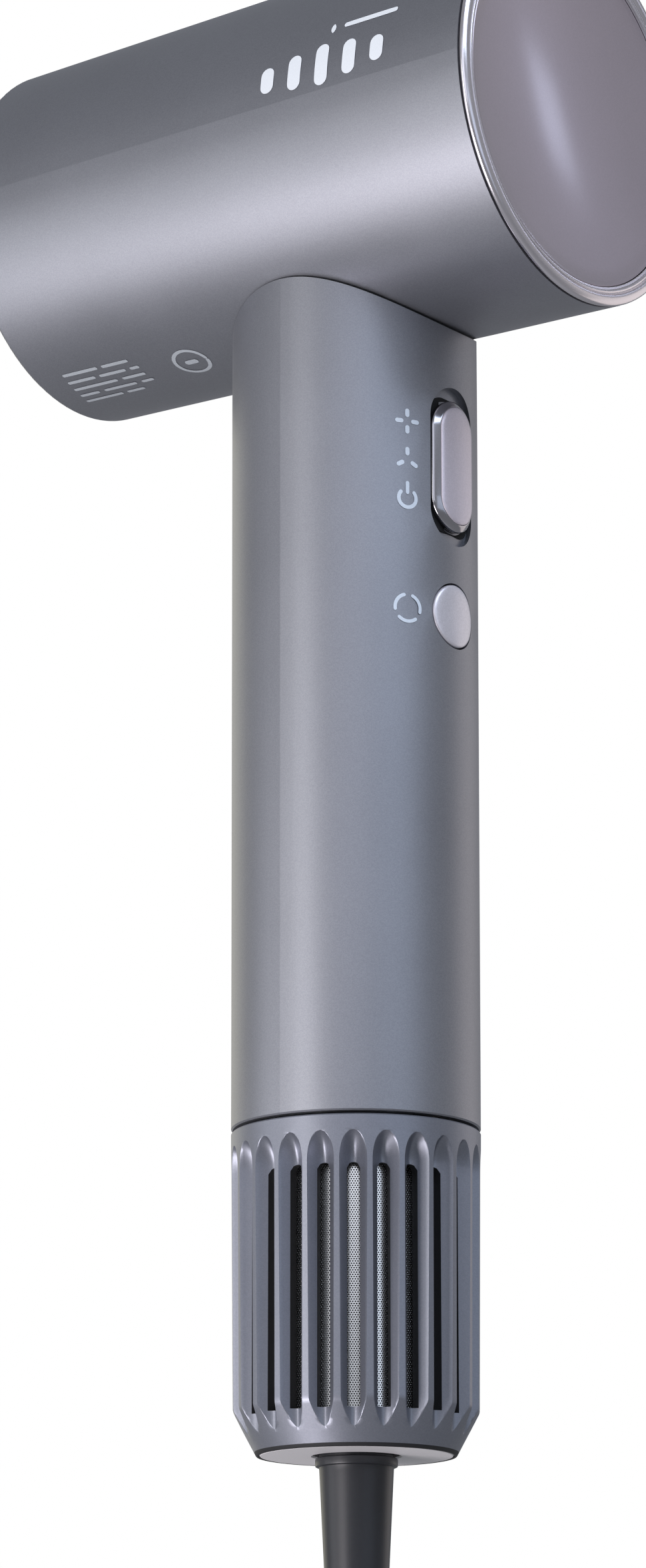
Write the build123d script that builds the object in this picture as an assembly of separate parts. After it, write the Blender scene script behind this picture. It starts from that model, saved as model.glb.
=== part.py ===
from build123d import *
from math import cos, radians, sin, sqrt
import os

os.makedirs("parts", exist_ok=True)

# ---------------------------------------------------------------- driving dimensions, mm
# Frame: Z up along the handle, origin on the handle's axis at the middle of the grip.
# The barrel lies along Y: the air outlet faces -Y, the rear cover and the controls face +Y.
HEAD_Z = 110.0              # barrel axis above the origin
FIXED_GAP = 0.1             # play between fixed neighbours
MOVE_GAP = 0.3              # play around moving pieces
RUN_GAP = 0.04              # radial running clearance of a shaft

# barrel
BARREL_FRONT_Y = -62.1
BARREL_REAR_Y = 46.2
BARREL_FRONT_R = 32.2
BARREL_REAR_R = 33.85
BARREL_WALL = 1.8
BARREL_LIP = 0.7            # rounding of the front edge

# handle
HANDLE_TOP_R = 21.2         # at the height of the slider
HANDLE_SEAM_R = 20.8        # at the seam above the intake cage
HANDLE_TOP_Z = 66.0
SEAM_Z = -60.8              # middle of the seam
SEAM_GAP = 0.5
HANDLE_BORE_R = 19.0
SADDLE_GAP = 0.5            # between the handle's end and the barrel

# intake cage
CAGE_FOOT_Z = -114.4
CAGE_CHAMFER_Z = -107.2
CAGE_CHAMFER_R = 20.32
CAGE_FOOT_R = 16.45
CAGE_BORE_R = 17.0
CAGE_FLOOR = 3.0
GROOVES = 24
GROOVE_TURN = 35.3          # angle of the first groove from +X
GROOVE_DEPTH = 2.7
GROOVE_WIDTH = 4.6
GROOVE_RUNOUT_R = 5.9
SLOT_WIDTH = 2.15
SLOT_TOP_Z = -68.7
SLOT_FOOT_Z = -108.3
DISC_T = 1.6
DISC_R = 16.0
DISC_HOLE_R = 7.2

# controls on the rear side of the handle
KNOB_Z = 51.5
KNOB_LENGTH = 23.2
KNOB_WIDTH = 11.2
KNOB_R = 22.3               # radius of its outer face about the handle's axis
KNOB_T = 1.9
KNOB_STEM_LENGTH = 13.0      # of the stem that joins it to its carriage
KNOB_STEM_WIDTH = 5.8
KNOB_TRIM = 1.2             # width of the bright edge around the knob
RECESS_LENGTH = 28.0
RECESS_WIDTH = 11.8
SLIDER_TRAVEL = 2.4         # each way from the middle step
BUTTON_Z = 25.1
BUTTON_R = 5.4
BUTTON_FACE_R = 21.45
BUTTON_TRAVEL = 1.0

# chassis inside the handle
CHASSIS_R = 18.85
CHASSIS_WALL = 1.45
CHASSIS_NECK = 26.0          # from its top up to the barrel axis
CHASSIS_FOOT_Z = -57.0
BOARD_T = 1.2
SWITCH_BOARD_Y = 11.4
SWITCH_BOARD_FOOT_Z = 17.0
SWITCH_BOARD_TOP_Z = 72.0

# motor
MOTOR_FOOT_Z = -48.0
MOTOR_TOP_Z = -8.0
MOTOR_R = 15.5
MOTOR_WALL = 1.2
HUB_R = 9.0
HUB_WALL = 1.0
HUB_FOOT_Z = -34.0
HUB_FLOOR = 2.0
BEARING_R = 4.0
BEARING_T = 3.0
SHAFT_R = 1.5
SHAFT_FOOT_Z = -47.0
SHAFT_TOP_Z = -5.0
STATOR_FOOT_Z = -27.0
STATOR_TOP_Z = -14.5
STATOR_BORE_R = 4.2
STATOR_TEETH = 6
VANES = 9
IMPELLER_FOOT_Z = -46.0
IMPELLER_TOP_Z = -36.0
IMPELLER_HUB_R = 6.5
IMPELLER_BLADES = 11
MOUNT_T = 8.0               # height of each rubber motor mount

# intake core and mesh
FILTER_GAP = 0.9             # between the mesh and the cage
CORE_WALL = 1.6
CORE_BARS = 8
CORE_FLOOR = 2.4
MESH_T = 0.4
MAGNET_R = 1.2
MAGNET_T = 1.6
WIRE_TURN = 218.0            # where the wires pass, from +X

# heater and outlet
NOZZLE_BORE_R = 26.0
NOZZLE_SEAT = 8.0
BEZEL_SET_BACK = 0.6
BEZEL_LENGTH = 11.5
GRILLE_T = 2.5
GRILLE_RING_W = 1.0
HEATER_R = 26.6
HEATER_WALL = 0.5
HEATER_LENGTH = 31.0
PLATE_T = 0.8
COILS = 5
COIL_RING_R = 24.2
COIL_R = 1.3
EMITTER_R = 1.4
EMITTER_OFF = 2.4

# rear end
BULKHEAD_Y = 20.0
BULKHEAD_T = 2.0
POST_LENGTH = 5.0
POST_RING_R = 23.0
POST_R = 2.4
MAIN_BOARD_R = 27.5
TRIM_FACE_IN_R = 30.5
TRIM_T = 0.9
TRIM_GAP = 0.35
COVER_DISH = 2.4

# mains lead
CORD_D = 7.0
COLLAR_R = 6.8
RELIEF_TOP_R = 6.15
RELIEF_FOOT_R = 4.4
RELIEF_FOOT_Z = -152.0
HANK_TOP_Z = -188.0
HANK_L = 143.0              # length of the folded hank
HANK_W = 66.0               # width across its two legs
HANK_BACK_X = -25.5         # three layers of cord behind the hanging lead
HANK_FRONT_X = 3.5
HANK_CORNER_R = 24.0
HANK_WAIST = 10.0           # how far the tie draws each leg in
HANK_WAIST_R = 60.0
TIE_W = 14.0
TIE_T = 1.2
TAIL_Y = 4.0
PLUG_Z = -360.0             # where the lead enters the plug
PLUG_W = 35.0
PLUG_T = 26.0
PLUG_L = 34.0
PIN_R = 2.4
PIN_L = 19.0
PIN_PITCH = 19.0

# ---------------------------------------------------------------- derived sizes
SEAM_TOP_Z = SEAM_Z + SEAM_GAP / 2
CAGE_TOP_Z = SEAM_Z - SEAM_GAP / 2
KNOB_SEAT_R = KNOB_R - KNOB_T
CHASSIS_BORE_R = CHASSIS_R - CHASSIS_WALL
MESH_R = CAGE_BORE_R - FILTER_GAP
CORE_R = MESH_R - MESH_T - FIXED_GAP
CHASSIS_TOP_Z = HEAD_Z - CHASSIS_NECK
MAGNET_RING_R = HANDLE_BORE_R - MAGNET_R
BEZEL_MAGNET_RING_R = (NOZZLE_BORE_R + BARREL_FRONT_R - BARREL_WALL - FIXED_GAP) / 2
CAGE_FLOOR_Z = CAGE_FOOT_Z + CAGE_FLOOR
CORE_FOOT_Z = CAGE_FLOOR_Z + MOVE_GAP
SWITCH_FACE_Y = SWITCH_BOARD_Y + BOARD_T
BEZEL_FRONT_Y = BARREL_FRONT_Y + BEZEL_SET_BACK
BEZEL_REAR_Y = BEZEL_FRONT_Y + BEZEL_LENGTH
GRILLE_Y = BEZEL_FRONT_Y + NOZZLE_SEAT
BARREL_BORE_FRONT_R = BARREL_FRONT_R - BARREL_WALL
BARREL_BORE_REAR_R = BARREL_REAR_R - BARREL_WALL
HEATER_FRONT_Y = BEZEL_REAR_Y + FIXED_GAP
HEATER_REAR_Y = HEATER_FRONT_Y + HEATER_LENGTH
BOARD_Y = BULKHEAD_Y + BULKHEAD_T + POST_LENGTH
BOARD_FACE_Y = BOARD_Y + BOARD_T
TRIM_Y = BARREL_REAR_Y + TRIM_GAP
TRIM_FACE_Y = TRIM_Y + TRIM_T


def barrel_r(y):
    """Outer radius of the barrel at y."""
    share = (y - BARREL_FRONT_Y) / (BARREL_REAR_Y - BARREL_FRONT_Y)
    return BARREL_FRONT_R + share * (BARREL_REAR_R - BARREL_FRONT_R)


def handle_r(z):
    """Outer radius of the handle at z."""
    share = (z - SEAM_Z) / (HANDLE_TOP_Z - SEAM_Z)
    return HANDLE_SEAM_R + share * (HANDLE_TOP_R - HANDLE_SEAM_R)


# ---------------------------------------------------------------- shape helpers
def rod_z(radius, z0, z1, x=0.0, y=0.0):
    return Pos(x, y, (z0 + z1) / 2) * Cylinder(radius, abs(z1 - z0))


def tube_z(outer, inner, z0, z1, x=0.0, y=0.0):
    return rod_z(outer, z0, z1, x, y) - rod_z(inner, z0 - 1, z1 + 1, x, y)


def rod_y(radius, y0, y1, x=0.0, z=HEAD_Z):
    return Pos(x, (y0 + y1) / 2, z) * Rot(90, 0, 0) * Cylinder(radius, abs(y1 - y0))


def tube_y(outer, inner, y0, y1, x=0.0, z=HEAD_Z):
    return rod_y(outer, y0, y1, x, z) - rod_y(inner, y0 - 1, y1 + 1, x, z)


def cuboid(x0, x1, y0, y1, z0, z1):
    middle = Pos((x0 + x1) / 2, (y0 + y1) / 2, (z0 + z1) / 2)
    return middle * Box(x1 - x0, y1 - y0, z1 - z0)


def turned_z(points):
    """Solid turned about the handle's axis from (radius, z) points."""
    outline = [(r, 0, z) for r, z in points]
    return revolve(make_face(Polyline(*outline, close=True)), axis=Axis.Z)


def turned_y(points):
    """Solid turned about the barrel's axis from (radius, y) points."""
    outline = [(r, y, 0) for r, y in points]
    return Pos(0, 0, HEAD_Z) * revolve(make_face(Polyline(*outline, close=True)), axis=Axis.Y)


def around_z(shape, count, start=0.0):
    return [Rot(0, 0, start + 360 / count * i) * shape for i in range(count)]


def around_y(shape, count, start=0.0):
    """Copies of a shape turned about the barrel's axis."""
    return [
        Pos(0, 0, HEAD_Z) * Rot(0, start + 360 / count * i, 0) * Pos(0, 0, -HEAD_Z) * shape
        for i in range(count)
    ]


def stadium_y(length, width, y0, y1, z):
    """Prism along Y with a stadium outline that stands upright."""
    outline = Pos(0, y0, z) * Rot(-90, 0, 0) * Rot(0, 0, 90) * SlotOverall(length, width)
    return extrude(outline, amount=y1 - y0, dir=(0, 1, 0))


def save(name, *solids):
    shape = solids[0] if len(solids) == 1 else Compound(children=list(solids))
    export_step(shape, f"parts/{name}.step")


# ---------------------------------------------------------------- barrel
def barrel_shell():
    outline = [
        (BARREL_BORE_FRONT_R, BARREL_FRONT_Y),
        (BARREL_FRONT_R, BARREL_FRONT_Y),
        (BARREL_REAR_R, BARREL_REAR_Y),
        (BARREL_BORE_REAR_R, BARREL_REAR_Y),
    ]
    shell = turned_y(outline)
    front_edge = shell.edges().filter_by(GeomType.CIRCLE).sort_by(Axis.Y)[:2].sort_by(SortBy.RADIUS)[-1]
    shell = fillet(front_edge, BARREL_LIP)
    return shell - rod_z(CHASSIS_R + FIXED_GAP, HEAD_Z - BARREL_REAR_R - 5, HEAD_Z)


def outlet_bezel():
    outer = BARREL_BORE_FRONT_R - FIXED_GAP
    bezel = rod_y(outer, BEZEL_FRONT_Y, BEZEL_REAR_Y)
    bezel = chamfer(bezel.edges().group_by(Axis.Y)[0], 0.4)
    bezel -= rod_y(NOZZLE_BORE_R, BEZEL_FRONT_Y - 1, BEZEL_REAR_Y + 1)
    bezel -= rod_y(NOZZLE_BORE_R + 1.1, GRILLE_Y, BEZEL_REAR_Y + 1)
    pocket = rod_y(MAGNET_R + FIXED_GAP, BEZEL_FRONT_Y + 1.0, GRILLE_Y, x=BEZEL_MAGNET_RING_R)
    return bezel - around_y(pocket, 4, 45)


def nozzle_magnets():
    y0 = BEZEL_FRONT_Y + 1.0
    return around_y(rod_y(MAGNET_R, y0, y0 + MAGNET_T * 2, x=BEZEL_MAGNET_RING_R), 4, 45)


def outlet_grille():
    y1 = GRILLE_Y + GRILLE_T
    rim = NOZZLE_BORE_R + 1.0
    grille = tube_y(rim, rim - 2.0, GRILLE_Y, y1)
    grille += rod_y(6.0, GRILLE_Y, y1)
    for radius in (19.2, 12.8):
        grille += tube_y(radius + GRILLE_RING_W / 2, radius - GRILLE_RING_W / 2, GRILLE_Y, y1)
    spoke = cuboid(5.0, rim - 1.0, GRILLE_Y, y1, HEAD_Z - 0.6, HEAD_Z + 0.6)
    for one in around_y(spoke, 6, 15):
        grille += one
    hole = rod_y(EMITTER_R + FIXED_GAP, GRILLE_Y - 1, y1 + 1, x=EMITTER_OFF, z=HEAD_Z + EMITTER_OFF)
    return grille - hole


def heat_liner():
    return tube_y(HEATER_R, HEATER_R - HEATER_WALL, HEATER_FRONT_Y, HEATER_REAR_Y)


def coil_ys():
    pitch = (HEATER_LENGTH - 5.0) / COILS
    return [HEATER_FRONT_Y + 2.5 + pitch * (i + 0.5) for i in range(COILS)]


def heater_plates():
    """Two mica plates slotted into each other, notched for the coils."""
    half = HEATER_R - HEATER_WALL - FIXED_GAP
    y0 = HEATER_FRONT_Y + 1.0
    y1 = HEATER_REAR_Y - 1.0
    middle = (y0 + y1) / 2
    joint = PLATE_T / 2 + FIXED_GAP / 2
    flat = cuboid(-half, half, y0, y1, HEAD_Z - PLATE_T / 2, HEAD_Z + PLATE_T / 2)
    upright = cuboid(-PLATE_T / 2, PLATE_T / 2, y0, y1, HEAD_Z - half, HEAD_Z + half)
    flat -= cuboid(-joint, joint, y0 - 1, middle, HEAD_Z - 1, HEAD_Z + 1)
    upright -= cuboid(-1, 1, middle - FIXED_GAP, y1 + 1, HEAD_Z - joint, HEAD_Z + joint)
    notch_r = COIL_RING_R - COIL_R - FIXED_GAP
    for y in coil_ys():
        notch = tube_y(half + 1, notch_r, y - COIL_R - FIXED_GAP, y + COIL_R + FIXED_GAP)
        flat -= notch
        upright -= notch
    return [flat, upright]


def heater_coils():
    ring = Rot(90, 0, 0) * Torus(COIL_RING_R, COIL_R)
    return [Pos(0, y, HEAD_Z) * ring for y in coil_ys()]


def thermostat():
    y0 = HEATER_FRONT_Y + 8.0
    z0 = HEAD_Z + PLATE_T / 2
    body = cuboid(7.0, 15.0, y0, y0 + 12.0, z0, z0 + 3.4)
    cap = rod_z(3.2, z0 + 3.4, z0 + 4.6, x=11.0, y=y0 + 6.0)
    return body + cap


def thermal_fuse():
    z = HEAD_Z - PLATE_T / 2 - 1.6
    return rod_y(1.6, HEATER_FRONT_Y + 8.0, HEATER_FRONT_Y + 20.0, x=-11.0, z=z)


def ion_emitter():
    """Insulated tube of the ion needle, from the rear bulkhead to the grille."""
    tip_y = GRILLE_Y + 1.6
    tube = rod_y(EMITTER_R, tip_y, BULKHEAD_Y, x=EMITTER_OFF, z=HEAD_Z + EMITTER_OFF)
    needle = rod_y(0.4, GRILLE_Y + 0.2, tip_y, x=EMITTER_OFF, z=HEAD_Z + EMITTER_OFF)
    return tube + needle


def board_posts():
    return [one for one in around_y(rod_y(POST_R, BULKHEAD_Y + 1, BOARD_Y, x=POST_RING_R), 4, 45)]


def rear_bulkhead():
    bore_r = barrel_r(BULKHEAD_Y) - BARREL_WALL
    plate = rod_y(bore_r - FIXED_GAP, BULKHEAD_Y, BULKHEAD_Y + BULKHEAD_T)
    for post in board_posts():
        plate += post
    pilot = rod_y(0.8, BULKHEAD_Y + 1, BOARD_Y + 1, x=POST_RING_R)
    plate -= around_y(pilot, 4, 45)
    wire_hole = cuboid(-8, 8, BULKHEAD_Y - 1, BOARD_Y, HEAD_Z - 27, HEAD_Z - 23)
    return plate - wire_hole


def main_board():
    board = rod_y(MAIN_BOARD_R, BOARD_Y, BOARD_FACE_Y)
    board -= around_y(rod_y(1.1, BOARD_Y - 1, BOARD_FACE_Y + 1, x=POST_RING_R), 4, 45)
    return board - cuboid(-8, 8, BOARD_Y - 1, BOARD_FACE_Y + 1, HEAD_Z - 30, HEAD_Z - 23)


def board_screws():
    head = rod_y(1.9, BOARD_FACE_Y, BOARD_FACE_Y + 1.4, x=POST_RING_R)
    shank = rod_y(0.75, BOARD_Y - 3.5, BOARD_FACE_Y + 0.5, x=POST_RING_R)
    return around_y(head + shank, 4, 45)


def capacitor():
    can = rod_y(5.0, BOARD_FACE_Y, BOARD_FACE_Y + 12.0, x=-11.0, z=HEAD_Z + 6.0)
    return fillet(can.edges().group_by(Axis.Y)[-1], 0.8)


def heat_triac():
    """Power switch of the heater on its finned heat sink."""
    y0 = BOARD_FACE_Y
    sink = cuboid(2.0, 17.0, y0, y0 + 11.0, HEAD_Z + 8.0, HEAD_Z + 10.0)
    for i in range(5):
        x = 2.0 + 3.4 * i
        sink += cuboid(x, x + 1.2, y0, y0 + 11.0, HEAD_Z + 9.5, HEAD_Z + 13.0)
    return sink + cuboid(5.0, 14.0, y0, y0 + 9.0, HEAD_Z + 4.0, HEAD_Z + 8.0)


def ion_module():
    box = cuboid(-9.0, 9.0, BOARD_FACE_Y, BOARD_FACE_Y + 9.0, HEAD_Z - 17.0, HEAD_Z - 6.0)
    return fillet(box.edges().group_by(Axis.Y)[-1], 0.8)


def rear_trim_ring():
    """Polished ring on the barrel's rear end, stepped down to the cover, with a skirt inside."""
    skirt_r = BARREL_BORE_REAR_R - FIXED_GAP
    bore = TRIM_FACE_IN_R
    outline = [
        (skirt_r - 0.1, BARREL_REAR_Y - 5.5),
        (skirt_r, TRIM_Y),
        (BARREL_REAR_R, TRIM_Y),
        (BARREL_REAR_R, TRIM_FACE_Y - 0.5),
        (BARREL_REAR_R - 0.35, TRIM_FACE_Y - 0.1),
        (bore + 1.5, TRIM_FACE_Y + 0.25),
        (bore + 1.2, TRIM_FACE_Y),
        (bore + 0.6, TRIM_FACE_Y),
        (bore + 0.5, TRIM_FACE_Y - 0.35),
        (bore, TRIM_FACE_Y - 0.35),
        (bore, TRIM_Y - 2.6),
        (bore - 1.2, TRIM_Y - 2.6),
        (bore - 1.2, BARREL_REAR_Y - 5.5),
    ]
    return turned_y(outline)


def rear_cover():
    """Shallow dished cover that sits on the trim ring's ledge."""
    edge = TRIM_FACE_IN_R - FIXED_GAP
    base = TRIM_Y - 2.6
    rim = TRIM_FACE_Y - 0.5
    bowl_r = (edge ** 2 + COVER_DISH ** 2) / (2 * COVER_DISH)
    cover = rod_y(edge, base, rim)
    bowl = Pos(0, rim - COVER_DISH + bowl_r, HEAD_Z) * Sphere(bowl_r)
    return cover - bowl


# ---------------------------------------------------------------- handle
def barrel_offset(gap):
    """The barrel's outside with a gap round it, as a cutter."""
    outline = [
        (0, BARREL_FRONT_Y),
        (BARREL_FRONT_R + gap, BARREL_FRONT_Y),
        (BARREL_REAR_R + gap, BARREL_REAR_Y),
        (0, BARREL_REAR_Y),
    ]
    return turned_y(outline)


def handle_shell():
    top = HEAD_Z - 20.0
    outline = [
        (HANDLE_BORE_R, SEAM_TOP_Z),
        (HANDLE_SEAM_R - 0.25, SEAM_TOP_Z),
        (HANDLE_SEAM_R, SEAM_TOP_Z + 0.25),
        (HANDLE_TOP_R, HANDLE_TOP_Z),
        (HANDLE_TOP_R, top),
        (HANDLE_BORE_R, top),
    ]
    shell = turned_z(outline) - barrel_offset(SADDLE_GAP)
    recess = stadium_y(RECESS_LENGTH, RECESS_WIDTH, 5, 30, KNOB_Z)
    shell -= recess - rod_z(KNOB_SEAT_R - MOVE_GAP, SEAM_Z, top)
    slot_length = KNOB_STEM_LENGTH + 2 * SLIDER_TRAVEL + 2 * MOVE_GAP
    shell -= stadium_y(slot_length, KNOB_STEM_WIDTH + 2 * MOVE_GAP, 5, 30, KNOB_Z)
    return shell - rod_y(BUTTON_R + MOVE_GAP, 5, 30, z=BUTTON_Z)


def neck_gasket():
    """Dark seal in the gap between the handle's end and the barrel."""
    ring = tube_z(HANDLE_TOP_R - 0.5, HANDLE_BORE_R + 0.2, HEAD_Z - 60, HEAD_Z - 20)
    return (ring & barrel_offset(SADDLE_GAP - 0.05)) - barrel_offset(0.05)


def control_window():
    """Opening in the chassis behind the slider and the button."""
    half = RECESS_WIDTH / 2 + 2.6
    low = BUTTON_Z - BUTTON_R - 2.2
    high = KNOB_Z + RECESS_LENGTH / 2 + 2 * SLIDER_TRAVEL + 1.6
    return cuboid(-half, half, 5, 30, low, high)


def handle_chassis():
    """Inner tube of the handle, which carries the motor, the boards and the barrel."""
    chassis = tube_z(CHASSIS_R, CHASSIS_BORE_R, CHASSIS_FOOT_Z, CHASSIS_TOP_Z)
    chassis -= control_window()
    rail_in = SWITCH_BOARD_Y - 2.0
    rail = cuboid(-16, 16, rail_in, SWITCH_BOARD_Y, SWITCH_BOARD_FOOT_Z, SWITCH_BOARD_TOP_Z)
    rail -= cuboid(-10, 10, rail_in - 1, 30, SWITCH_BOARD_FOOT_Z - 1, SWITCH_BOARD_TOP_Z + 1)
    rail = rail & rod_z(CHASSIS_BORE_R + 0.2, SWITCH_BOARD_FOOT_Z, SWITCH_BOARD_TOP_Z)
    return chassis + rail


def switch_board():
    corner = SWITCH_FACE_Y
    half = sqrt((CHASSIS_BORE_R - FIXED_GAP) ** 2 - corner ** 2)
    return cuboid(-half, half, SWITCH_BOARD_Y, corner, SWITCH_BOARD_FOOT_Z + 1, SWITCH_BOARD_TOP_Z - 1)


def slide_switch():
    y1 = SWITCH_FACE_Y + 3.2
    body = cuboid(-4, 4, SWITCH_FACE_Y, y1, KNOB_Z - 8, KNOB_Z + 8)
    half = 2.0 + SLIDER_TRAVEL + MOVE_GAP
    return body - cuboid(-1.8, 1.8, y1 - 2.0, y1 + 1, KNOB_Z - half, KNOB_Z + half)


def button_switch():
    body = cuboid(-3.1, 3.1, SWITCH_FACE_Y, SWITCH_FACE_Y + 0.8, BUTTON_Z - 3.1, BUTTON_Z + 3.1)
    return body + rod_y(1.6, SWITCH_FACE_Y + 0.8, SWITCH_FACE_Y + 1.1, z=BUTTON_Z)


def curved_plate(length, width, inner, outer, z):
    """Stadium plate bent about the handle's axis, on its rear side."""
    return stadium_y(length, width, 5, outer + 2, z) & tube_z(outer, inner, z - length, z + length)


def slider_knob():
    width = KNOB_WIDTH - 2 * KNOB_TRIM
    length = KNOB_LENGTH - 2 * KNOB_TRIM
    return curved_plate(length, width, KNOB_SEAT_R, KNOB_R, KNOB_Z)


def slider_trim():
    """Bright bevelled frame around the knob."""
    frame_outer = curved_plate(KNOB_LENGTH, KNOB_WIDTH, KNOB_SEAT_R, KNOB_R - 0.35, KNOB_Z)
    hole = stadium_y(
        KNOB_LENGTH - 2 * KNOB_TRIM + 0.04, KNOB_WIDTH - 2 * KNOB_TRIM + 0.04, 5, 30, KNOB_Z
    )
    return frame_outer - hole


def slider_carriage():
    """Plate behind the handle's wall with the stub that works the slide switch."""
    outer = HANDLE_BORE_R - MOVE_GAP
    length = RECESS_LENGTH + 2 * SLIDER_TRAVEL + 1.2
    plate = curved_plate(length, RECESS_WIDTH + 3.2, outer - 1.3, outer, KNOB_Z)
    stem = curved_plate(KNOB_STEM_LENGTH, KNOB_STEM_WIDTH, outer - 0.1, KNOB_SEAT_R, KNOB_Z)
    stub_in = SWITCH_FACE_Y + 3.2 - 2.0 + MOVE_GAP
    stub = cuboid(-1.5, 1.5, stub_in, outer - 0.8, KNOB_Z - 2, KNOB_Z + 2)
    return plate + stem + stub


def heat_button():
    """Round push button with the flange that keeps it in the handle."""
    flange_y = HANDLE_BORE_R - 3.2
    cap = rod_y(BUTTON_R, flange_y, 30, z=BUTTON_Z) & rod_z(BUTTON_FACE_R, BUTTON_Z - 9, BUTTON_Z + 9)
    flange = rod_y(BUTTON_R + 1.2, flange_y, flange_y + 1.4, z=BUTTON_Z)
    tip = SWITCH_FACE_Y + 1.1 + MOVE_GAP + BUTTON_TRAVEL
    stem = rod_y(1.5, tip, flange_y + 0.5, z=BUTTON_Z)
    return cap + flange + stem


# ---------------------------------------------------------------- motor
def motor_housing():
    """Outer tube, guide vanes and the hub that holds the stator and the lower bearing."""
    inner = MOTOR_R - MOTOR_WALL
    hub_in = HUB_R - HUB_WALL
    housing = tube_z(MOTOR_R, inner, MOTOR_FOOT_Z, MOTOR_TOP_Z)
    housing += tube_z(HUB_R, hub_in, HUB_FOOT_Z, MOTOR_TOP_Z)
    housing += tube_z(HUB_R - 0.5, BEARING_R + RUN_GAP, HUB_FOOT_Z, HUB_FOOT_Z + HUB_FLOOR)
    vane = cuboid(HUB_R - 0.3, inner + 0.3, -0.5, 0.5, -7, 7)
    vane = Pos(0, 0, (HUB_FOOT_Z + HUB_FLOOR + 6)) * Rot(20, 0, 0) * vane
    vane = vane & tube_z(inner + 0.2, HUB_R - 0.2, HUB_FOOT_Z, MOTOR_TOP_Z)
    for one in around_z(vane, VANES):
        housing += one
    return housing


def motor_mount(z0):
    """Rubber ring between the motor and the chassis, notched for the wires."""
    ring = tube_z(CHASSIS_BORE_R - 0.05, MOTOR_R + 0.05, z0, z0 + MOUNT_T)
    notch = cuboid(14, 19, -3.5, 3.5, z0 - 1, z0 + MOUNT_T + 1)
    return ring - Rot(0, 0, WIRE_TURN) * notch


def bearing_bridge():
    """Cap on the hub that holds the upper bearing."""
    plate = tube_z(HUB_R, SHAFT_R + MOVE_GAP, MOTOR_TOP_Z, MOTOR_TOP_Z + 1.4)
    cup = tube_z(BEARING_R + 1.2, BEARING_R + RUN_GAP, MOTOR_TOP_Z - BEARING_T, MOTOR_TOP_Z + 0.5)
    return plate + cup


def motor_bearings():
    bore = SHAFT_R + RUN_GAP
    lower = tube_z(BEARING_R, bore, HUB_FOOT_Z, HUB_FOOT_Z + BEARING_T)
    upper = tube_z(BEARING_R, bore, MOTOR_TOP_Z - BEARING_T, MOTOR_TOP_Z)
    return [lower, upper]


def stator_core():
    outer = HUB_R - HUB_WALL - RUN_GAP
    core = tube_z(outer, outer - 1.2, STATOR_FOOT_Z, STATOR_TOP_Z)
    tooth = cuboid(STATOR_BORE_R, outer - 0.5, -0.7, 0.7, STATOR_FOOT_Z, STATOR_TOP_Z)
    tooth -= rod_z(STATOR_BORE_R, STATOR_FOOT_Z - 1, STATOR_TOP_Z + 1)
    for one in around_z(tooth, STATOR_TEETH):
        core += one
    return core


def stator_windings():
    """Copper in the spaces between the stator's teeth."""
    outer = HUB_R - HUB_WALL - RUN_GAP - 1.2 - FIXED_GAP
    ring = tube_z(outer, STATOR_BORE_R + 0.3, STATOR_FOOT_Z - 1.5, STATOR_TOP_Z + 1.5)
    for i in range(STATOR_TEETH):
        gap = cuboid(0, 12, -0.9, 0.9, STATOR_FOOT_Z - 3, STATOR_TOP_Z + 3)
        ring -= Rot(0, 0, 360 / STATOR_TEETH * i) * gap
    return ring.solids()


def motor_board():
    z0 = MOTOR_TOP_Z + 1.4
    board = tube_z(HUB_R + 3.0, SHAFT_R + 1.5, z0, z0 + BOARD_T)
    chip = cuboid(3.5, 8.0, -3.0, 3.0, z0 + BOARD_T, z0 + BOARD_T + 1.2)
    for one in around_z(chip, 3, 30):
        board += one
    return board


def rotor_shaft():
    return rod_z(SHAFT_R, SHAFT_FOOT_Z, SHAFT_TOP_Z)


def rotor_magnet():
    return tube_z(STATOR_BORE_R - 0.4, SHAFT_R + 0.02, STATOR_FOOT_Z, STATOR_TOP_Z)


def impeller():
    tip = MOTOR_R - MOTOR_WALL - 0.4
    wheel = turned_z([
        (SHAFT_R + 0.02, IMPELLER_FOOT_Z),
        (SHAFT_R + 1.2, IMPELLER_FOOT_Z),
        (IMPELLER_HUB_R - 2, IMPELLER_FOOT_Z + 2.5),
        (IMPELLER_HUB_R, IMPELLER_TOP_Z - 2.5),
        (IMPELLER_HUB_R, IMPELLER_TOP_Z),
        (SHAFT_R + 0.02, IMPELLER_TOP_Z),
    ])
    span = IMPELLER_TOP_Z - IMPELLER_FOOT_Z
    blade = cuboid(IMPELLER_HUB_R - 2.4, tip + 2, -0.4, 0.4, -span, span)
    blade = Pos(0, 0, (IMPELLER_FOOT_Z + IMPELLER_TOP_Z) / 2) * Rot(38, 0, 0) * blade
    blade = blade & tube_z(tip, IMPELLER_HUB_R - 2.2, IMPELLER_FOOT_Z + 1.5, IMPELLER_TOP_Z - 0.5)
    for one in around_z(blade, IMPELLER_BLADES):
        wheel += one
    return wheel


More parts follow.
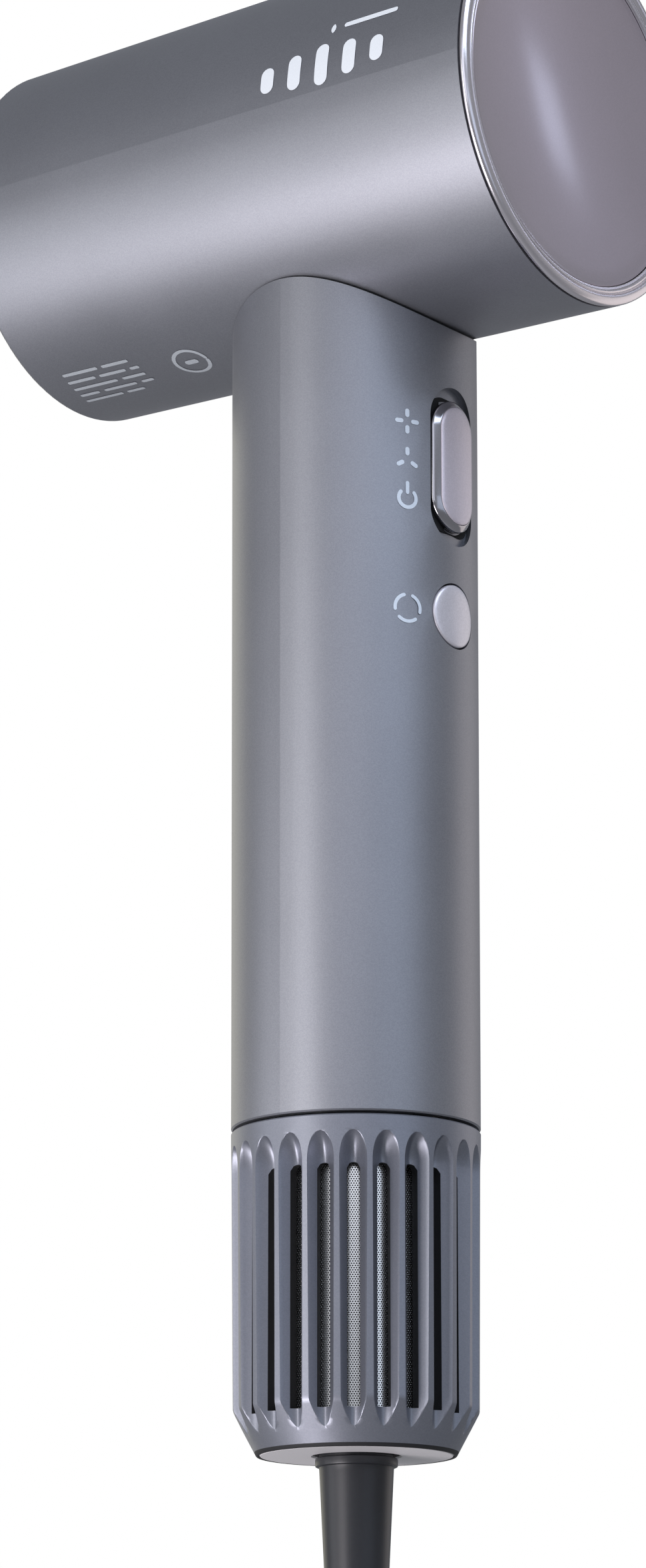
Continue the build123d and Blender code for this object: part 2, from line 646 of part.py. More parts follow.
# ---------------------------------------------------------------- air intake
def intake_core():
    """Frame below the chassis that carries the mesh, the magnets and the lead."""
    ring_top = CHASSIS_FOOT_Z
    ring_foot = SEAM_TOP_Z
    core = tube_z(HANDLE_BORE_R - FIXED_GAP, CORE_R - CORE_WALL, ring_foot, ring_top)
    core += tube_z(CORE_R, CORE_R - CORE_WALL, ring_foot - 4.0, ring_top)
    core += rod_z(CORE_R, CORE_FOOT_Z, CORE_FOOT_Z + CORE_FLOOR)
    bar = cuboid(CORE_R - CORE_WALL, CORE_R + 1, -1.2, 1.2, CORE_FOOT_Z, ring_foot)
    bar = bar & rod_z(CORE_R, CORE_FOOT_Z, ring_foot)
    for one in around_z(bar, CORE_BARS, 22.5):
        core += one
    core -= rod_z(RELIEF_TOP_R - 1.1, CORE_FOOT_Z - 1, CORE_FOOT_Z + CORE_FLOOR + 1)
    pocket = rod_z(MAGNET_R + 0.05, ring_foot - 1, ring_foot + MAGNET_T, x=MAGNET_RING_R)
    return core - around_z(pocket, 4, 45 + GROOVE_TURN)


def core_magnets():
    magnet = rod_z(MAGNET_R, SEAM_TOP_Z, SEAM_TOP_Z + MAGNET_T, x=MAGNET_RING_R)
    return around_z(magnet, 4, 45 + GROOVE_TURN)


def mesh_filter():
    top = SEAM_TOP_Z - FIXED_GAP
    return tube_z(MESH_R, CORE_R + FIXED_GAP, CORE_FOOT_Z, top)


def groove_cutter():
    """V groove with an arched run-out at its top, and the air slot at its bottom."""
    root_r = HANDLE_SEAM_R - GROOVE_DEPTH
    arch_r = root_r + GROOVE_RUNOUT_R
    reach = GROOVE_RUNOUT_R - 0.3
    half = GROOVE_WIDTH / 2 / GROOVE_DEPTH * reach
    foot = CAGE_FOOT_Z - 5
    section = [(root_r, 0, foot), (root_r + reach, -half, foot), (root_r + reach, half, foot)]
    straight = extrude(make_face(Polyline(*section, close=True)), amount=SLOT_TOP_Z - foot, dir=(0, 0, 1))
    top = [(x, y, SLOT_TOP_Z) for x, y, z in section]
    pivot = Axis((arch_r, 0, SLOT_TOP_Z), (0, 1, 0))
    runout = revolve(make_face(Polyline(*top, close=True)), axis=pivot, revolution_arc=80)
    slot = cuboid(CAGE_BORE_R - 1, root_r + 4, -SLOT_WIDTH / 2, SLOT_WIDTH / 2, SLOT_FOOT_Z,
                  SLOT_TOP_Z - SLOT_WIDTH / 2)
    arch = Pos((CAGE_BORE_R + root_r + 3) / 2, 0, SLOT_TOP_Z - SLOT_WIDTH / 2) * Rot(0, 90, 0)
    slot += arch * Cylinder(SLOT_WIDTH / 2, root_r + 5 - CAGE_BORE_R)
    return straight + runout + slot


def intake_cage():
    """Sleeve with air slots that pulls down off the handle's foot for cleaning."""
    lip_r = DISC_R + 0.05
    outline = [
        (CAGE_BORE_R, CAGE_TOP_Z),
        (HANDLE_SEAM_R - 0.25, CAGE_TOP_Z),
        (HANDLE_SEAM_R, CAGE_TOP_Z - 0.25),
        (CAGE_CHAMFER_R, CAGE_CHAMFER_Z),
        (CAGE_FOOT_R, CAGE_FOOT_Z),
        (lip_r, CAGE_FOOT_Z),
        (lip_r, CAGE_FOOT_Z + DISC_T),
        (DISC_R - 2.5, CAGE_FOOT_Z + DISC_T),
        (DISC_R - 2.5, CAGE_FLOOR_Z),
        (CAGE_BORE_R, CAGE_FLOOR_Z),
    ]
    cage = turned_z(outline)
    cage -= around_z(groove_cutter(), GROOVES, GROOVE_TURN)
    pocket = rod_z(MAGNET_R + 0.05, CAGE_TOP_Z - MAGNET_T, CAGE_TOP_Z + 1, x=MAGNET_RING_R)
    return cage - around_z(pocket, 4, 45 + GROOVE_TURN)


def cage_magnets():
    magnet = rod_z(MAGNET_R, CAGE_TOP_Z - MAGNET_T, CAGE_TOP_Z, x=MAGNET_RING_R)
    return around_z(magnet, 4, 45 + GROOVE_TURN)


def base_disc():
    """Pale disc in the cage's foot, with the hole that clears the lead's collar."""
    disc = tube_z(DISC_R, DISC_HOLE_R, CAGE_FOOT_Z, CAGE_FOOT_Z + DISC_T)
    return chamfer(disc.edges().filter_by(GeomType.CIRCLE).group_by(Axis.Z)[0], 0.25)


# ---------------------------------------------------------------- mains lead
def strain_relief():
    """Collar, tapered boot and the neck that passes through the core's floor."""
    collar_z = CAGE_FOOT_Z - MOVE_GAP
    neck_r = RELIEF_TOP_R - 1.2
    outline = [
        (0, CORE_FOOT_Z + CORE_FLOOR + 3.0),
        (neck_r, CORE_FOOT_Z + CORE_FLOOR + 3.0),
        (neck_r, CORE_FOOT_Z),
        (RELIEF_TOP_R, CORE_FOOT_Z),
        (RELIEF_TOP_R, collar_z),
        (COLLAR_R - 0.3, collar_z),
        (COLLAR_R, collar_z - 0.3),
        (COLLAR_R, collar_z - 1.2),
        (COLLAR_R - 0.3, collar_z - 1.5),
        (RELIEF_TOP_R, collar_z - 1.5),
        (RELIEF_FOOT_R, RELIEF_FOOT_Z),
        (0, RELIEF_FOOT_Z),
    ]
    return turned_z(outline)


def cord_clamp():
    """Bar screwed across the lead's neck inside the core."""
    z0 = CORE_FOOT_Z + CORE_FLOOR
    clamp = cuboid(-11, 11, -6.5, 6.5, z0, z0 + 3.0)
    clamp -= rod_z(RELIEF_TOP_R - 1.15, z0 - 1, z0 + 4)
    for side in (-1, 1):
        clamp += rod_z(1.8, z0 + 2.5, z0 + 4.2, x=8.6 * side)
    return clamp


def power_wires():
    """Two wires from the lead, past the motor and up to the main board."""
    wires = []
    for side in (-4.5, 4.5):
        turn = radians(WIRE_TURN + side)
        low = CORE_FOOT_Z + CORE_FLOOR + 3.4
        inner = 12.4
        outer = CORE_R + 0.85
        stations = [
            (2.6, low), (3.4, low + 8), (inner, low + 22), (inner, CHASSIS_FOOT_Z - 1),
            (outer, MOTOR_FOOT_Z - 2), (outer, CHASSIS_TOP_Z + 1), (inner, CHASSIS_TOP_Z + 9),
        ]
        points = [(r * cos(turn), r * sin(turn), z) for r, z in stations]
        line = FilletPolyline(*points, radius=3.0)
        disc = Plane(line @ 0, z_dir=line % 0) * Circle(0.7)
        wires.append(sweep(disc, path=line))
    return wires


# the lead hangs straight under the weight of its hank, and the tail under that of the plug
LEAD_ROUTE = [(0, 0, RELIEF_FOOT_Z), (0, 0, HANK_TOP_Z)]
TAIL_ROUTE = [(0, TAIL_Y, HANK_TOP_Z - HANK_L), (0, TAIL_Y, PLUG_Z)]


def cord_tube(points):
    line = Line(*points)
    tube = sweep(Plane(line @ 0, z_dir=line % 0) * Circle(CORD_D / 2), path=line)
    print("tube length, mm:", round(line.length, 1))
    return tube


def cord_hank():
    """Outer shape of the folded lead, drawn in at the middle by its tie."""
    middle = HANK_TOP_Z - HANK_L / 2
    outline = Pos(HANK_BACK_X, 0, middle) * Rot(0, 90, 0) * RectangleRounded(HANK_L, HANK_W, HANK_CORNER_R)
    block = extrude(outline, amount=HANK_FRONT_X - HANK_BACK_X, dir=(1, 0, 0))
    centre = HANK_W / 2 - HANK_WAIST + HANK_WAIST_R
    for side in (-1, 1):
        scoop = Pos(0, side * centre, middle) * Rot(0, 90, 0) * Cylinder(HANK_WAIST_R, 80)
        block -= scoop
    return block


def cord_tie():
    """Strap around the hank's waist."""
    middle = HANK_TOP_Z - HANK_L / 2
    low = middle - TIE_W / 2
    high = middle + TIE_W / 2
    y1 = HANK_W / 2 - HANK_WAIST + 0.5
    strap = cuboid(HANK_BACK_X - TIE_T, HANK_FRONT_X + TIE_T, -y1 - TIE_T, y1 + TIE_T, low, high)
    return strap - cuboid(HANK_BACK_X, HANK_FRONT_X, -y1, y1, low - 1, high + 1)


def plug_body():
    """Round-shouldered two-pin plug, hanging with its pins down."""
    foot = PLUG_Z - PLUG_L
    body = Pos(0, 0, foot) * extrude(RectangleRounded(PLUG_T, PLUG_W, 9), amount=PLUG_L - 12)
    neck = Pos(0, 0, PLUG_Z - 12.5) * extrude(Circle(PLUG_T / 2 - 1), amount=6)
    boot = rod_z(CORD_D / 2 + 1.3, PLUG_Z - 8, PLUG_Z)
    body = fillet(body.edges().group_by(Axis.Z)[-1], 3.0)
    return Pos(0, TAIL_Y, 0) * (body + neck + boot)


def plug_pins():
    foot = PLUG_Z - PLUG_L
    pin = rod_z(PIN_R, foot - PIN_L, foot)
    pin = fillet(pin.edges().group_by(Axis.Z)[0], 1.2)
    return [Pos(0, TAIL_Y + side * PIN_PITCH / 2, 0) * pin for side in (-1, 1)]


# ---------------------------------------------------------------- build
SINGLE = [
    barrel_shell, outlet_bezel, outlet_grille, heat_liner, thermostat, thermal_fuse, ion_emitter,
    rear_bulkhead, main_board, capacitor, heat_triac, ion_module, rear_trim_ring, rear_cover,
    handle_shell, neck_gasket, handle_chassis, switch_board, slide_switch, button_switch,
    slider_knob, slider_trim, slider_carriage, heat_button, motor_housing, bearing_bridge,
    stator_core, motor_board, rotor_shaft, rotor_magnet, impeller, intake_core, mesh_filter,
    intake_cage, base_disc, strain_relief, cord_clamp, cord_hank, cord_tie, plug_body,
]
GROUPS = [
    nozzle_magnets, heater_plates, heater_coils, board_screws, motor_bearings, stator_windings,
    core_magnets, cage_magnets, power_wires, plug_pins,
]

for make in SINGLE:
    save(make.__name__, make())
for make in GROUPS:
    save(make.__name__, *make())
save("lower_motor_mount", motor_mount(MOTOR_FOOT_Z + 2))
save("upper_motor_mount", motor_mount(MOTOR_TOP_Z - MOUNT_T - 2))
save("power_cord", cord_tube(LEAD_ROUTE))
save("cord_tail", cord_tube(TAIL_ROUTE))
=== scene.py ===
import math

import bpy
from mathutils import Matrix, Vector


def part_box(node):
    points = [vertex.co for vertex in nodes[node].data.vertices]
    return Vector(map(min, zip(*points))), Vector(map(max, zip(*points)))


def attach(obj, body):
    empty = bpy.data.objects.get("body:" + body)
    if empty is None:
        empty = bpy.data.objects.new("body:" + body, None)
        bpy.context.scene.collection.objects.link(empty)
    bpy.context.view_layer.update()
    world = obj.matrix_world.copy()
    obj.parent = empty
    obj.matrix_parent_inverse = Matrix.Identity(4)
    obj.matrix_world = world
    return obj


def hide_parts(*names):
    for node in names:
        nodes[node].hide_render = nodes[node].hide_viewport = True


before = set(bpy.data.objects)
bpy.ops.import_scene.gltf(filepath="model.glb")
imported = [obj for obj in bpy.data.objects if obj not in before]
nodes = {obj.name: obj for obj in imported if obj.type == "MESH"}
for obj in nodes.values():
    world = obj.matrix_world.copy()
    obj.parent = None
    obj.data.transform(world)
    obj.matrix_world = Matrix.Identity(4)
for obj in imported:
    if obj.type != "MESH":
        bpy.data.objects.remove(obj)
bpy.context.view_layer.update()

# ---------------------------------------------------------------- Camera
# Low on the dryer's rear right side, close in with a long lens, looking up a little at the handle.
CAMERA_PLACE = (0.60826, 0.45126, -0.19340)
CAMERA_AIM = (-0.77414, -0.58307, 0.24646)
camera_data = bpy.data.cameras.new("camera")
camera_data.sensor_width = 36.0
camera_data.lens = 105.69
camera = bpy.data.objects.new("camera", camera_data)
camera.location = CAMERA_PLACE
camera.rotation_euler = Vector(CAMERA_AIM).to_track_quat("-Z", "Y").to_euler()
bpy.context.scene.collection.objects.link(camera)
bpy.context.scene.camera = camera


# ---------------------------------------------------------------- Mains lead
# A round two-core lead with a satin charcoal rubber sheath, 7 mm thick and 1.8 m long. It hangs
# straight out of the boot, and the rest is folded into a tied hank of five turns below the dryer.
LEAD_D = 0.007
WAIST_Z = -0.2595           # middle of the hank, where the tie draws the legs in
TOP_ARC_Z = -0.2215
FOOT_ARC_Z = -0.2975
INNER_R = 0.0228
OUTER_R = 0.0304
LAYER = 0.0076
WAIST = 0.0105              # how far the tie draws a leg in
CROSSING_BULGE = 0.0024     # where a turn goes over to the outer row
LEG_STEPS = 6
ARC_STEPS = 6

lead_points = [
    (0, 0, -0.152), (0, 0, -0.164), (0, 0, -0.177), (0, 0, -0.190), (0, 0.0003, -0.203),
    (-0.0012, 0.0020, -0.216), (-0.0038, 0.0060, -0.229), (-0.0064, 0.0098, -0.242),
    (-0.0075, 0.0120, -0.253),
]
tail_points = [
    (-0.0074, 0.0284, -0.232), (-0.0062, 0.0248, -0.243), (-0.0036, 0.0214, -0.254),
    (-0.0010, 0.0184, -0.265), (0, 0.0152, -0.277), (0, 0.0114, -0.291), (0, 0.0076, -0.306),
    (0, 0.0050, -0.320), (0, 0.0040, -0.334), (0, 0.0040, -0.347), (0, 0.0040, -0.360),
]
turns = [
    (-LAYER, INNER_R), (-2 * LAYER, INNER_R), (-3 * LAYER, INNER_R),
    (-3 * LAYER, OUTER_R), (-2 * LAYER, OUTER_R), (-LAYER, OUTER_R),
]


def waist_at(z):
    """How far a leg is drawn in at one height."""
    reach = (TOP_ARC_Z - FOOT_ARC_Z) / 2
    share = min(1.0, abs(z - WAIST_Z) / reach)
    return WAIST * (1 + math.cos(math.pi * share)) / 2


def hank_turn(turn, after, leg_from):
    """Points of one turn: down the right leg, round the foot, up the left leg and over the top."""
    x, radius = turn
    next_x, next_radius = after
    points = []
    for i in range(leg_from, LEG_STEPS):
        z = TOP_ARC_Z + (FOOT_ARC_Z - TOP_ARC_Z) * i / LEG_STEPS
        points.append((x, radius - waist_at(z), z))
    for i in range(ARC_STEPS + 1):
        angle = math.pi * i / ARC_STEPS
        points.append((x, radius * math.cos(angle), FOOT_ARC_Z - radius * math.sin(angle)))
    for i in range(1, LEG_STEPS):
        share = i / LEG_STEPS
        z = FOOT_ARC_Z + (TOP_ARC_Z - FOOT_ARC_Z) * share
        bulge = CROSSING_BULGE * math.sin(math.pi * share) if radius != next_radius else 0
        width = radius + (next_radius - radius) * share - waist_at(z)
        points.append((x + (next_x - x) * share - bulge, -width, z))
    for i in range(ARC_STEPS + 1):
        angle = math.pi * i / ARC_STEPS
        points.append((next_x, -next_radius * math.cos(angle), TOP_ARC_Z + next_radius * math.sin(angle)))
    return points


route = list(lead_points)
for k in range(len(turns) - 1):
    first = 4 if k == 0 else 1      # the first leg starts low, where the hanging run reaches it
    route += hank_turn(turns[k], turns[k + 1], first)
route += tail_points

lead_curve = bpy.data.curves.new("mains_lead", "CURVE")
lead_curve.dimensions = "3D"
lead_curve.bevel_depth = LEAD_D / 2
lead_curve.bevel_resolution = 6
lead_curve.resolution_u = 6
lead_spline = lead_curve.splines.new("NURBS")
lead_spline.points.add(len(route) - 1)
for point, place in zip(lead_spline.points, route):
    point.co = (*place, 1.0)
lead_spline.order_u = 3
lead_spline.use_endpoint_u = True
mains_lead = bpy.data.objects.new("mains_lead", lead_curve)
bpy.context.scene.collection.objects.link(mains_lead)


def new_material(name, color, roughness, metallic=0.0):
    """A material with its Principled shader set, ready for its own nodes."""
    material = bpy.data.materials.new(name)
    material.use_nodes = True
    shader = material.node_tree.nodes["Principled BSDF"]
    shader.inputs["Base Color"].default_value = (*color, 1)
    shader.inputs["Roughness"].default_value = roughness
    shader.inputs["Metallic"].default_value = metallic
    return material, shader


def new_group(name, inputs, outputs):
    """A node group with inputs of (name, value) and outputs of (name, kind)."""
    group = bpy.data.node_groups.new(name, "ShaderNodeTree")
    for socket, value in inputs:
        kind = "NodeSocketFloat" if isinstance(value, float) else "NodeSocketColor"
        group.interface.new_socket(socket, in_out="INPUT", socket_type=kind).default_value = value
    for socket, kind in outputs:
        group.interface.new_socket(socket, in_out="OUTPUT", socket_type="NodeSocket" + kind)
    return group, group.nodes.new("NodeGroupInput").outputs, group.nodes.new("NodeGroupOutput").inputs


def join(tree, pairs):
    """Links each output to its input."""
    for source, target in pairs:
        tree.links.new(source, target)


def new_node(tree, kind, inputs, **settings):
    """A shader node whose inputs are given values, or other nodes' outputs."""
    node = tree.nodes.new("ShaderNode" + kind)
    for setting, choice in settings.items():
        setattr(node, setting, choice)
    for socket, value in inputs.items():
        if isinstance(value, bpy.types.NodeSocket):
            tree.links.new(value, node.inputs[socket])
        else:
            node.inputs[socket].default_value = value
    return node


def own_place(tree):
    """The piece's own place in space."""
    return new_node(tree, "TexCoord", {}).outputs["Object"]


def worked(tree, operation, *values):
    """The output of a Math node."""
    return new_node(tree, "Math", dict(enumerate(values)), operation=operation).outputs[0]


def noise(tree, scale, detail):
    """The output of a Noise node."""
    inputs = {"Vector": own_place(tree), "Scale": scale, "Detail": detail}
    return new_node(tree, "TexNoise", inputs).outputs["Fac"]


def shaded(tree, color, factor):
    """A colour made lighter or darker by a factor."""
    return new_node(tree, "VectorMath", {0: color, "Scale": factor}, operation="SCALE").outputs[0]


def bumped(tree, height, strength, distance):
    """The normal of a Bump node."""
    inputs = {"Height": height, "Strength": strength, "Distance": distance}
    return new_node(tree, "Bump", inputs).outputs["Normal"]


def surface_group():
    """Fine grain and soft clouding, from a piece's own place in space."""
    tree, inputs, outputs = new_group(
        "fine_surface",
        [
            ("Color", (0.5, 0.5, 0.5, 1)), ("Roughness", 0.4), ("Grain Size", 2500.0), ("Grain", 0.05),
            ("Clouding", 0.04), ("Bump", 0.03),
        ],
        [("Color", "Color"), ("Roughness", "Float"), ("Normal", "Vector")],
    )
    grain = noise(tree, inputs["Grain Size"], 2)
    cloud = noise(tree, 60, 4)
    swings = []
    for pattern, amount in ((grain, inputs["Grain"]), (cloud, inputs["Clouding"])):
        swings.append(worked(tree, "MULTIPLY_ADD", worked(tree, "SUBTRACT", pattern, 0.5), amount, 1.0))
    shade = shaded(tree, inputs["Color"], worked(tree, "MULTIPLY", *swings))
    tree.links.new(shade, outputs["Color"])
    tree.links.new(worked(tree, "MULTIPLY", inputs["Roughness"], swings[1]), outputs["Roughness"])
    tree.links.new(bumped(tree, grain, inputs["Bump"], 0.0001), outputs["Normal"])
    return tree


fine_surface = surface_group()


def grouped(material, shader, node_group, values):
    """Puts a node group with its own values in front of a material's shader."""
    tree = material.node_tree
    group = tree.nodes.new("ShaderNodeGroup")
    group.node_tree = node_group
    for socket, value in values.items():
        group.inputs[socket].default_value = value
    tree.links.new(group.outputs["Color"], shader.inputs["Base Color"])
    tree.links.new(group.outputs["Roughness"], shader.inputs["Roughness"])
    tree.links.new(group.outputs["Normal"], shader.inputs["Normal"])


def finished(name, color, roughness, metallic, grain_size, grain, clouding, bump):
    """A material whose shader is fed by the fine_surface group."""
    material, shader = new_material(name, color, roughness, metallic)
    grouped(material, shader, fine_surface, {
        "Color": (*color, 1), "Roughness": roughness, "Grain Size": grain_size, "Grain": grain,
        "Clouding": clouding, "Bump": bump,
    })
    return material


def paint(obj, material):
    obj.data.materials.clear()
    obj.data.materials.append(material)


def paint_nodes(material, *names):
    for name in names:
        paint(nodes[name], material)


sheath = finished("charcoal_sheath", (0.055, 0.056, 0.062), 0.48, 0.0, 1400, 0.25, 0.2, 0.12)
paint(mains_lead, sheath)
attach(mains_lead, "dryer_body")
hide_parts("power_cord", "cord_hank", "cord_tail")


# ---------------------------------------------------------------- Plug
# A round-shouldered two-pin plug, moulded in the lead's own rubber over nickelled brass pins. Its
# short boot narrows a little towards the lead.
def deselect_all():
    for obj in bpy.context.selected_objects:
        obj.select_set(False)


def pick(obj):
    """Makes one object the selected and active one."""
    deselect_all()
    obj.select_set(True)
    bpy.context.view_layer.objects.active = obj


def apply_modifiers(obj):
    pick(obj)
    for modifier in list(obj.modifiers):
        bpy.ops.object.modifier_apply(modifier=modifier.name)


def settle(obj, name, smooth_deg=35):
    """Applies place, turn and size to the mesh, names the piece and smooths its soft edges."""
    pick(obj)
    bpy.ops.object.transform_apply(location=True, rotation=True, scale=True)
    obj.name = name
    bpy.ops.object.shade_smooth_by_angle(angle=math.radians(smooth_deg))
    return obj


def add_bevel(obj, width, segments=3, angle_deg=30):
    bevel = obj.modifiers.new("edge_round", "BEVEL")
    bevel.width = width
    bevel.segments = segments
    bevel.limit_method = "ANGLE"
    bevel.angle_limit = math.radians(angle_deg)


def select_faces(obj, test):
    """Selects the faces of the mesh in edit mode whose middle passes the test."""
    bpy.ops.object.mode_set(mode="OBJECT")
    for part in (*obj.data.edges, *obj.data.vertices):
        part.select = False
    for face in obj.data.polygons:
        face.select = test(face)
        if face.select:
            for index in face.vertices:
                obj.data.vertices[index].select = True
    bpy.ops.object.mode_set(mode="EDIT")
    bpy.ops.mesh.select_mode(type="FACE")


PLUG_Y = 0.004
PLUG_WIDTH = (0.0256, 0.0346)
PLUG_BLOCK = 0.019              # height of the straight lower part
PLUG_ROUND = 0.0042
SHOULDERS = ((0.004, 0.86), (0.004, 0.72), (0.003, 0.66))
PLUG_BOOT_R = 0.0062
PLUG_BOOT_SUNK = 0.003
plug_low, plug_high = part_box("plug_body")
shoulder_z = plug_low[2] + PLUG_BLOCK
deselect_all()
bpy.ops.mesh.primitive_cube_add(size=1, location=(0, PLUG_Y, (plug_low[2] + shoulder_z) / 2))
plug = bpy.context.object
plug.scale = (*PLUG_WIDTH, shoulder_z - plug_low[2])
bpy.ops.object.transform_apply(location=True, rotation=True, scale=True)
bpy.ops.object.mode_set(mode="EDIT")
for rise, narrow in SHOULDERS:
    select_faces(plug, lambda face: face.normal.z > 0.9 and face.center.z > shoulder_z - 0.0001)
    bpy.ops.mesh.extrude_region_move(TRANSFORM_OT_translate={"value": (0, 0, rise)})
    bpy.ops.transform.resize(value=(narrow, narrow, 1), center_override=(0, PLUG_Y, 0))
    shoulder_z += rise
bpy.ops.object.mode_set(mode="OBJECT")
add_bevel(plug, PLUG_ROUND, 4)
apply_modifiers(plug)
settle(plug, "plug_housing")

deselect_all()
boot_top = plug_high[2]
bpy.ops.mesh.primitive_cylinder_add(
    vertices=40, radius=PLUG_BOOT_R, depth=boot_top - shoulder_z + PLUG_BOOT_SUNK,
    location=(0, PLUG_Y, (boot_top + shoulder_z - PLUG_BOOT_SUNK) / 2),
)
plug_boot = bpy.context.object
bpy.ops.object.transform_apply(location=True, rotation=True, scale=True)
bpy.ops.object.mode_set(mode="EDIT")
bpy.ops.mesh.select_all(action="DESELECT")
select_faces(plug_boot, lambda face: abs(face.normal.z) > 0.9 and face.center.z > boot_top - 0.0001)
bpy.ops.transform.resize(value=(0.74, 0.74, 1), center_override=(0, PLUG_Y, 0))
bpy.ops.object.mode_set(mode="OBJECT")
add_bevel(plug_boot, 0.0006, 3)
apply_modifiers(plug_boot)
settle(plug_boot, "plug_boot")

plug_rubber = finished("plug_rubber", (0.05, 0.051, 0.056), 0.42, 0.0, 900, 0.3, 0.2, 0.18)
for piece in (plug, plug_boot):
    paint(piece, plug_rubber)
    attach(piece, "dryer_body")
    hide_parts("plug_body")

pin_metal = finished("nickelled_brass", (0.72, 0.68, 0.58), 0.22, 1.0, 900, 0.1, 0.25, 0.02)
paint(nodes["plug_pins"], pin_metal)


# ---------------------------------------------------------------- Tie
# A soft hook-and-loop strap that goes once round the hank's waist, its free end laid over itself.
# It is woven nylon, 14 mm wide.
TIE_T = 0.0012
TIE_HALF_Y = 0.0238
TIE_BACK_X = -0.0270
TIE_FRONT_X = 0.0032
TIE_ROUND = 0.0085
TIE_END_LENGTH = 0.022
tie_low, tie_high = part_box("cord_tie")
tie_mid_z = (tie_low[2] + tie_high[2]) / 2
tie_width = tie_high[2] - tie_low[2]
deselect_all()
bpy.ops.mesh.primitive_cube_add(size=1, location=((TIE_BACK_X + TIE_FRONT_X) / 2, 0, tie_mid_z))
tie = bpy.context.object
tie.scale = (TIE_FRONT_X - TIE_BACK_X, 2 * TIE_HALF_Y, tie_width)
bpy.ops.object.transform_apply(location=True, rotation=True, scale=True)
bpy.ops.object.mode_set(mode="EDIT")
select_faces(tie, lambda face: abs(face.normal.z) > 0.9)
bpy.ops.mesh.delete(type="FACE")
bpy.ops.object.mode_set(mode="OBJECT")
corner = tie.modifiers.new("corner_round", "BEVEL")
corner.width = TIE_ROUND
corner.segments = 6
corner.limit_method = "ANGLE"
wall = tie.modifiers.new("strap_wall", "SOLIDIFY")
wall.thickness = TIE_T
wall.offset = -1
add_bevel(tie, 0.0003, 2, 60)
apply_modifiers(tie)
settle(tie, "hank_tie")

deselect_all()
bpy.ops.mesh.primitive_cube_add(size=1, location=(TIE_FRONT_X + 0.0005, 0.004, tie_mid_z))
tie_end = bpy.context.object
tie_end.scale = (0.001, TIE_END_LENGTH, tie_width * 0.94)
bpy.ops.object.transform_apply(location=True, rotation=True, scale=True)
add_bevel(tie_end, 0.0004, 3)
apply_modifiers(tie_end)
settle(tie_end, "hank_tie_end")


def level_bands(tree, scale, distortion):
    """The output of a Wave node whose bands lie level."""
    inputs = {"Vector": own_place(tree), "Scale": scale, "Distortion": distortion}
    return new_node(tree, "TexWave", inputs, bands_direction="Z").outputs["Fac"]


weave, weave_shader = new_material("woven_nylon", (0.035, 0.036, 0.042), 0.9)
weave_tree = weave.node_tree
ribs = level_bands(weave_tree, 420, 1.5)
weave_tree.links.new(bumped(weave_tree, ribs, 0.6, 0.0003), weave_shader.inputs["Normal"])
for piece in (tie, tie_end):
    paint(piece, weave)
    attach(piece, "dryer_body")
    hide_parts("cord_tie")

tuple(lead_points[0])


# ---------------------------------------------------------------- Barrel and handle shells
# Two moulded tubes sprayed in one satin gunmetal lacquer with fine metallic flake. The handle's end
# is cut to the barrel's curve, and a thin black gasket fills the joint between them.
def flake_group():
    """Tiny flakes that each tilt their own way under a clear lacquer, over a faintly cloudy base."""
    tree, inputs, outputs = new_group(
        "lacquer_flake",
        [
            ("Color", (0.3, 0.3, 0.33, 1)), ("Roughness", 0.45), ("Flake Size", 7000.0),
            ("Flake Light", 0.2), ("Flake Tilt", 0.1),
        ],
        [("Color", "Color"), ("Roughness", "Float"), ("Normal", "Vector")],
    )
    flakes = new_node(tree, "TexVoronoi", {"Vector": own_place(tree), "Scale": inputs["Flake Size"]})
    split = new_node(tree, "SeparateColor", {"Color": flakes.outputs["Color"]})
    light = new_node(tree, "MapRange", {"Value": split.outputs["Red"], "To Max": inputs["Flake Light"]})
    gain = new_node(tree, "MapRange", {"Value": noise(tree, 45, 3), "To Min": 0.92, "To Max": 1.04})
    gained = gain.outputs["Result"]
    shade = shaded(tree, inputs["Color"], worked(tree, "ADD", light.outputs["Result"], gained))
    tree.links.new(shade, outputs["Color"])
    tree.links.new(worked(tree, "MULTIPLY", inputs["Roughness"], gained), outputs["Roughness"])
    tilted = bumped(tree, split.outputs["Green"], inputs["Flake Tilt"], 0.00005)
    tree.links.new(tilted, outputs["Normal"])
    return tree


lacquer_flake = flake_group()


def lacquered(name, color, roughness, metallic, flake_size, flake_light, flake_tilt, coat=None):
    """A material fed by the lacquer_flake group; a coat is (weight, roughness)."""
    material, shader = new_material(name, color, roughness, metallic)
    grouped(material, shader, lacquer_flake, {
        "Color": (*color, 1), "Roughness": roughness, "Flake Size": flake_size,
        "Flake Light": flake_light, "Flake Tilt": flake_tilt,
    })
    if coat:
        shader.inputs["Coat Weight"].default_value, shader.inputs["Coat Roughness"].default_value = coat
    return material


lacquer = lacquered("gunmetal_lacquer", (0.30, 0.305, 0.335), 0.45, 0.9, 6500, 0.14, 0.05)
paint_nodes(lacquer, "barrel_shell", "handle_shell")
gasket = finished("gasket_black", (0.012, 0.012, 0.014), 0.6, 0.0, 1200, 0.2, 0.1, 0.05)
paint(nodes["neck_gasket"], gasket)


# ---------------------------------------------------------------- Printed marks on the handle
# Pale pad-printed signs beside the controls: a four-blade and a three-blade fan for the speeds, the
# power sign below them, and a ring of three arcs beside the round button.
HEAD_Z = 0.110
INK_LIFT = 0.00005
HANDLE_FOOT_R = 0.0208
HANDLE_TOP_R = 0.0212
HANDLE_FOOT_Z = -0.0608
HANDLE_LENGTH = 0.1268
BARREL_FRONT_R = 0.0322
BARREL_REAR_R = 0.03385
BARREL_FRONT_Y = -0.0621
BARREL_LENGTH = 0.1083


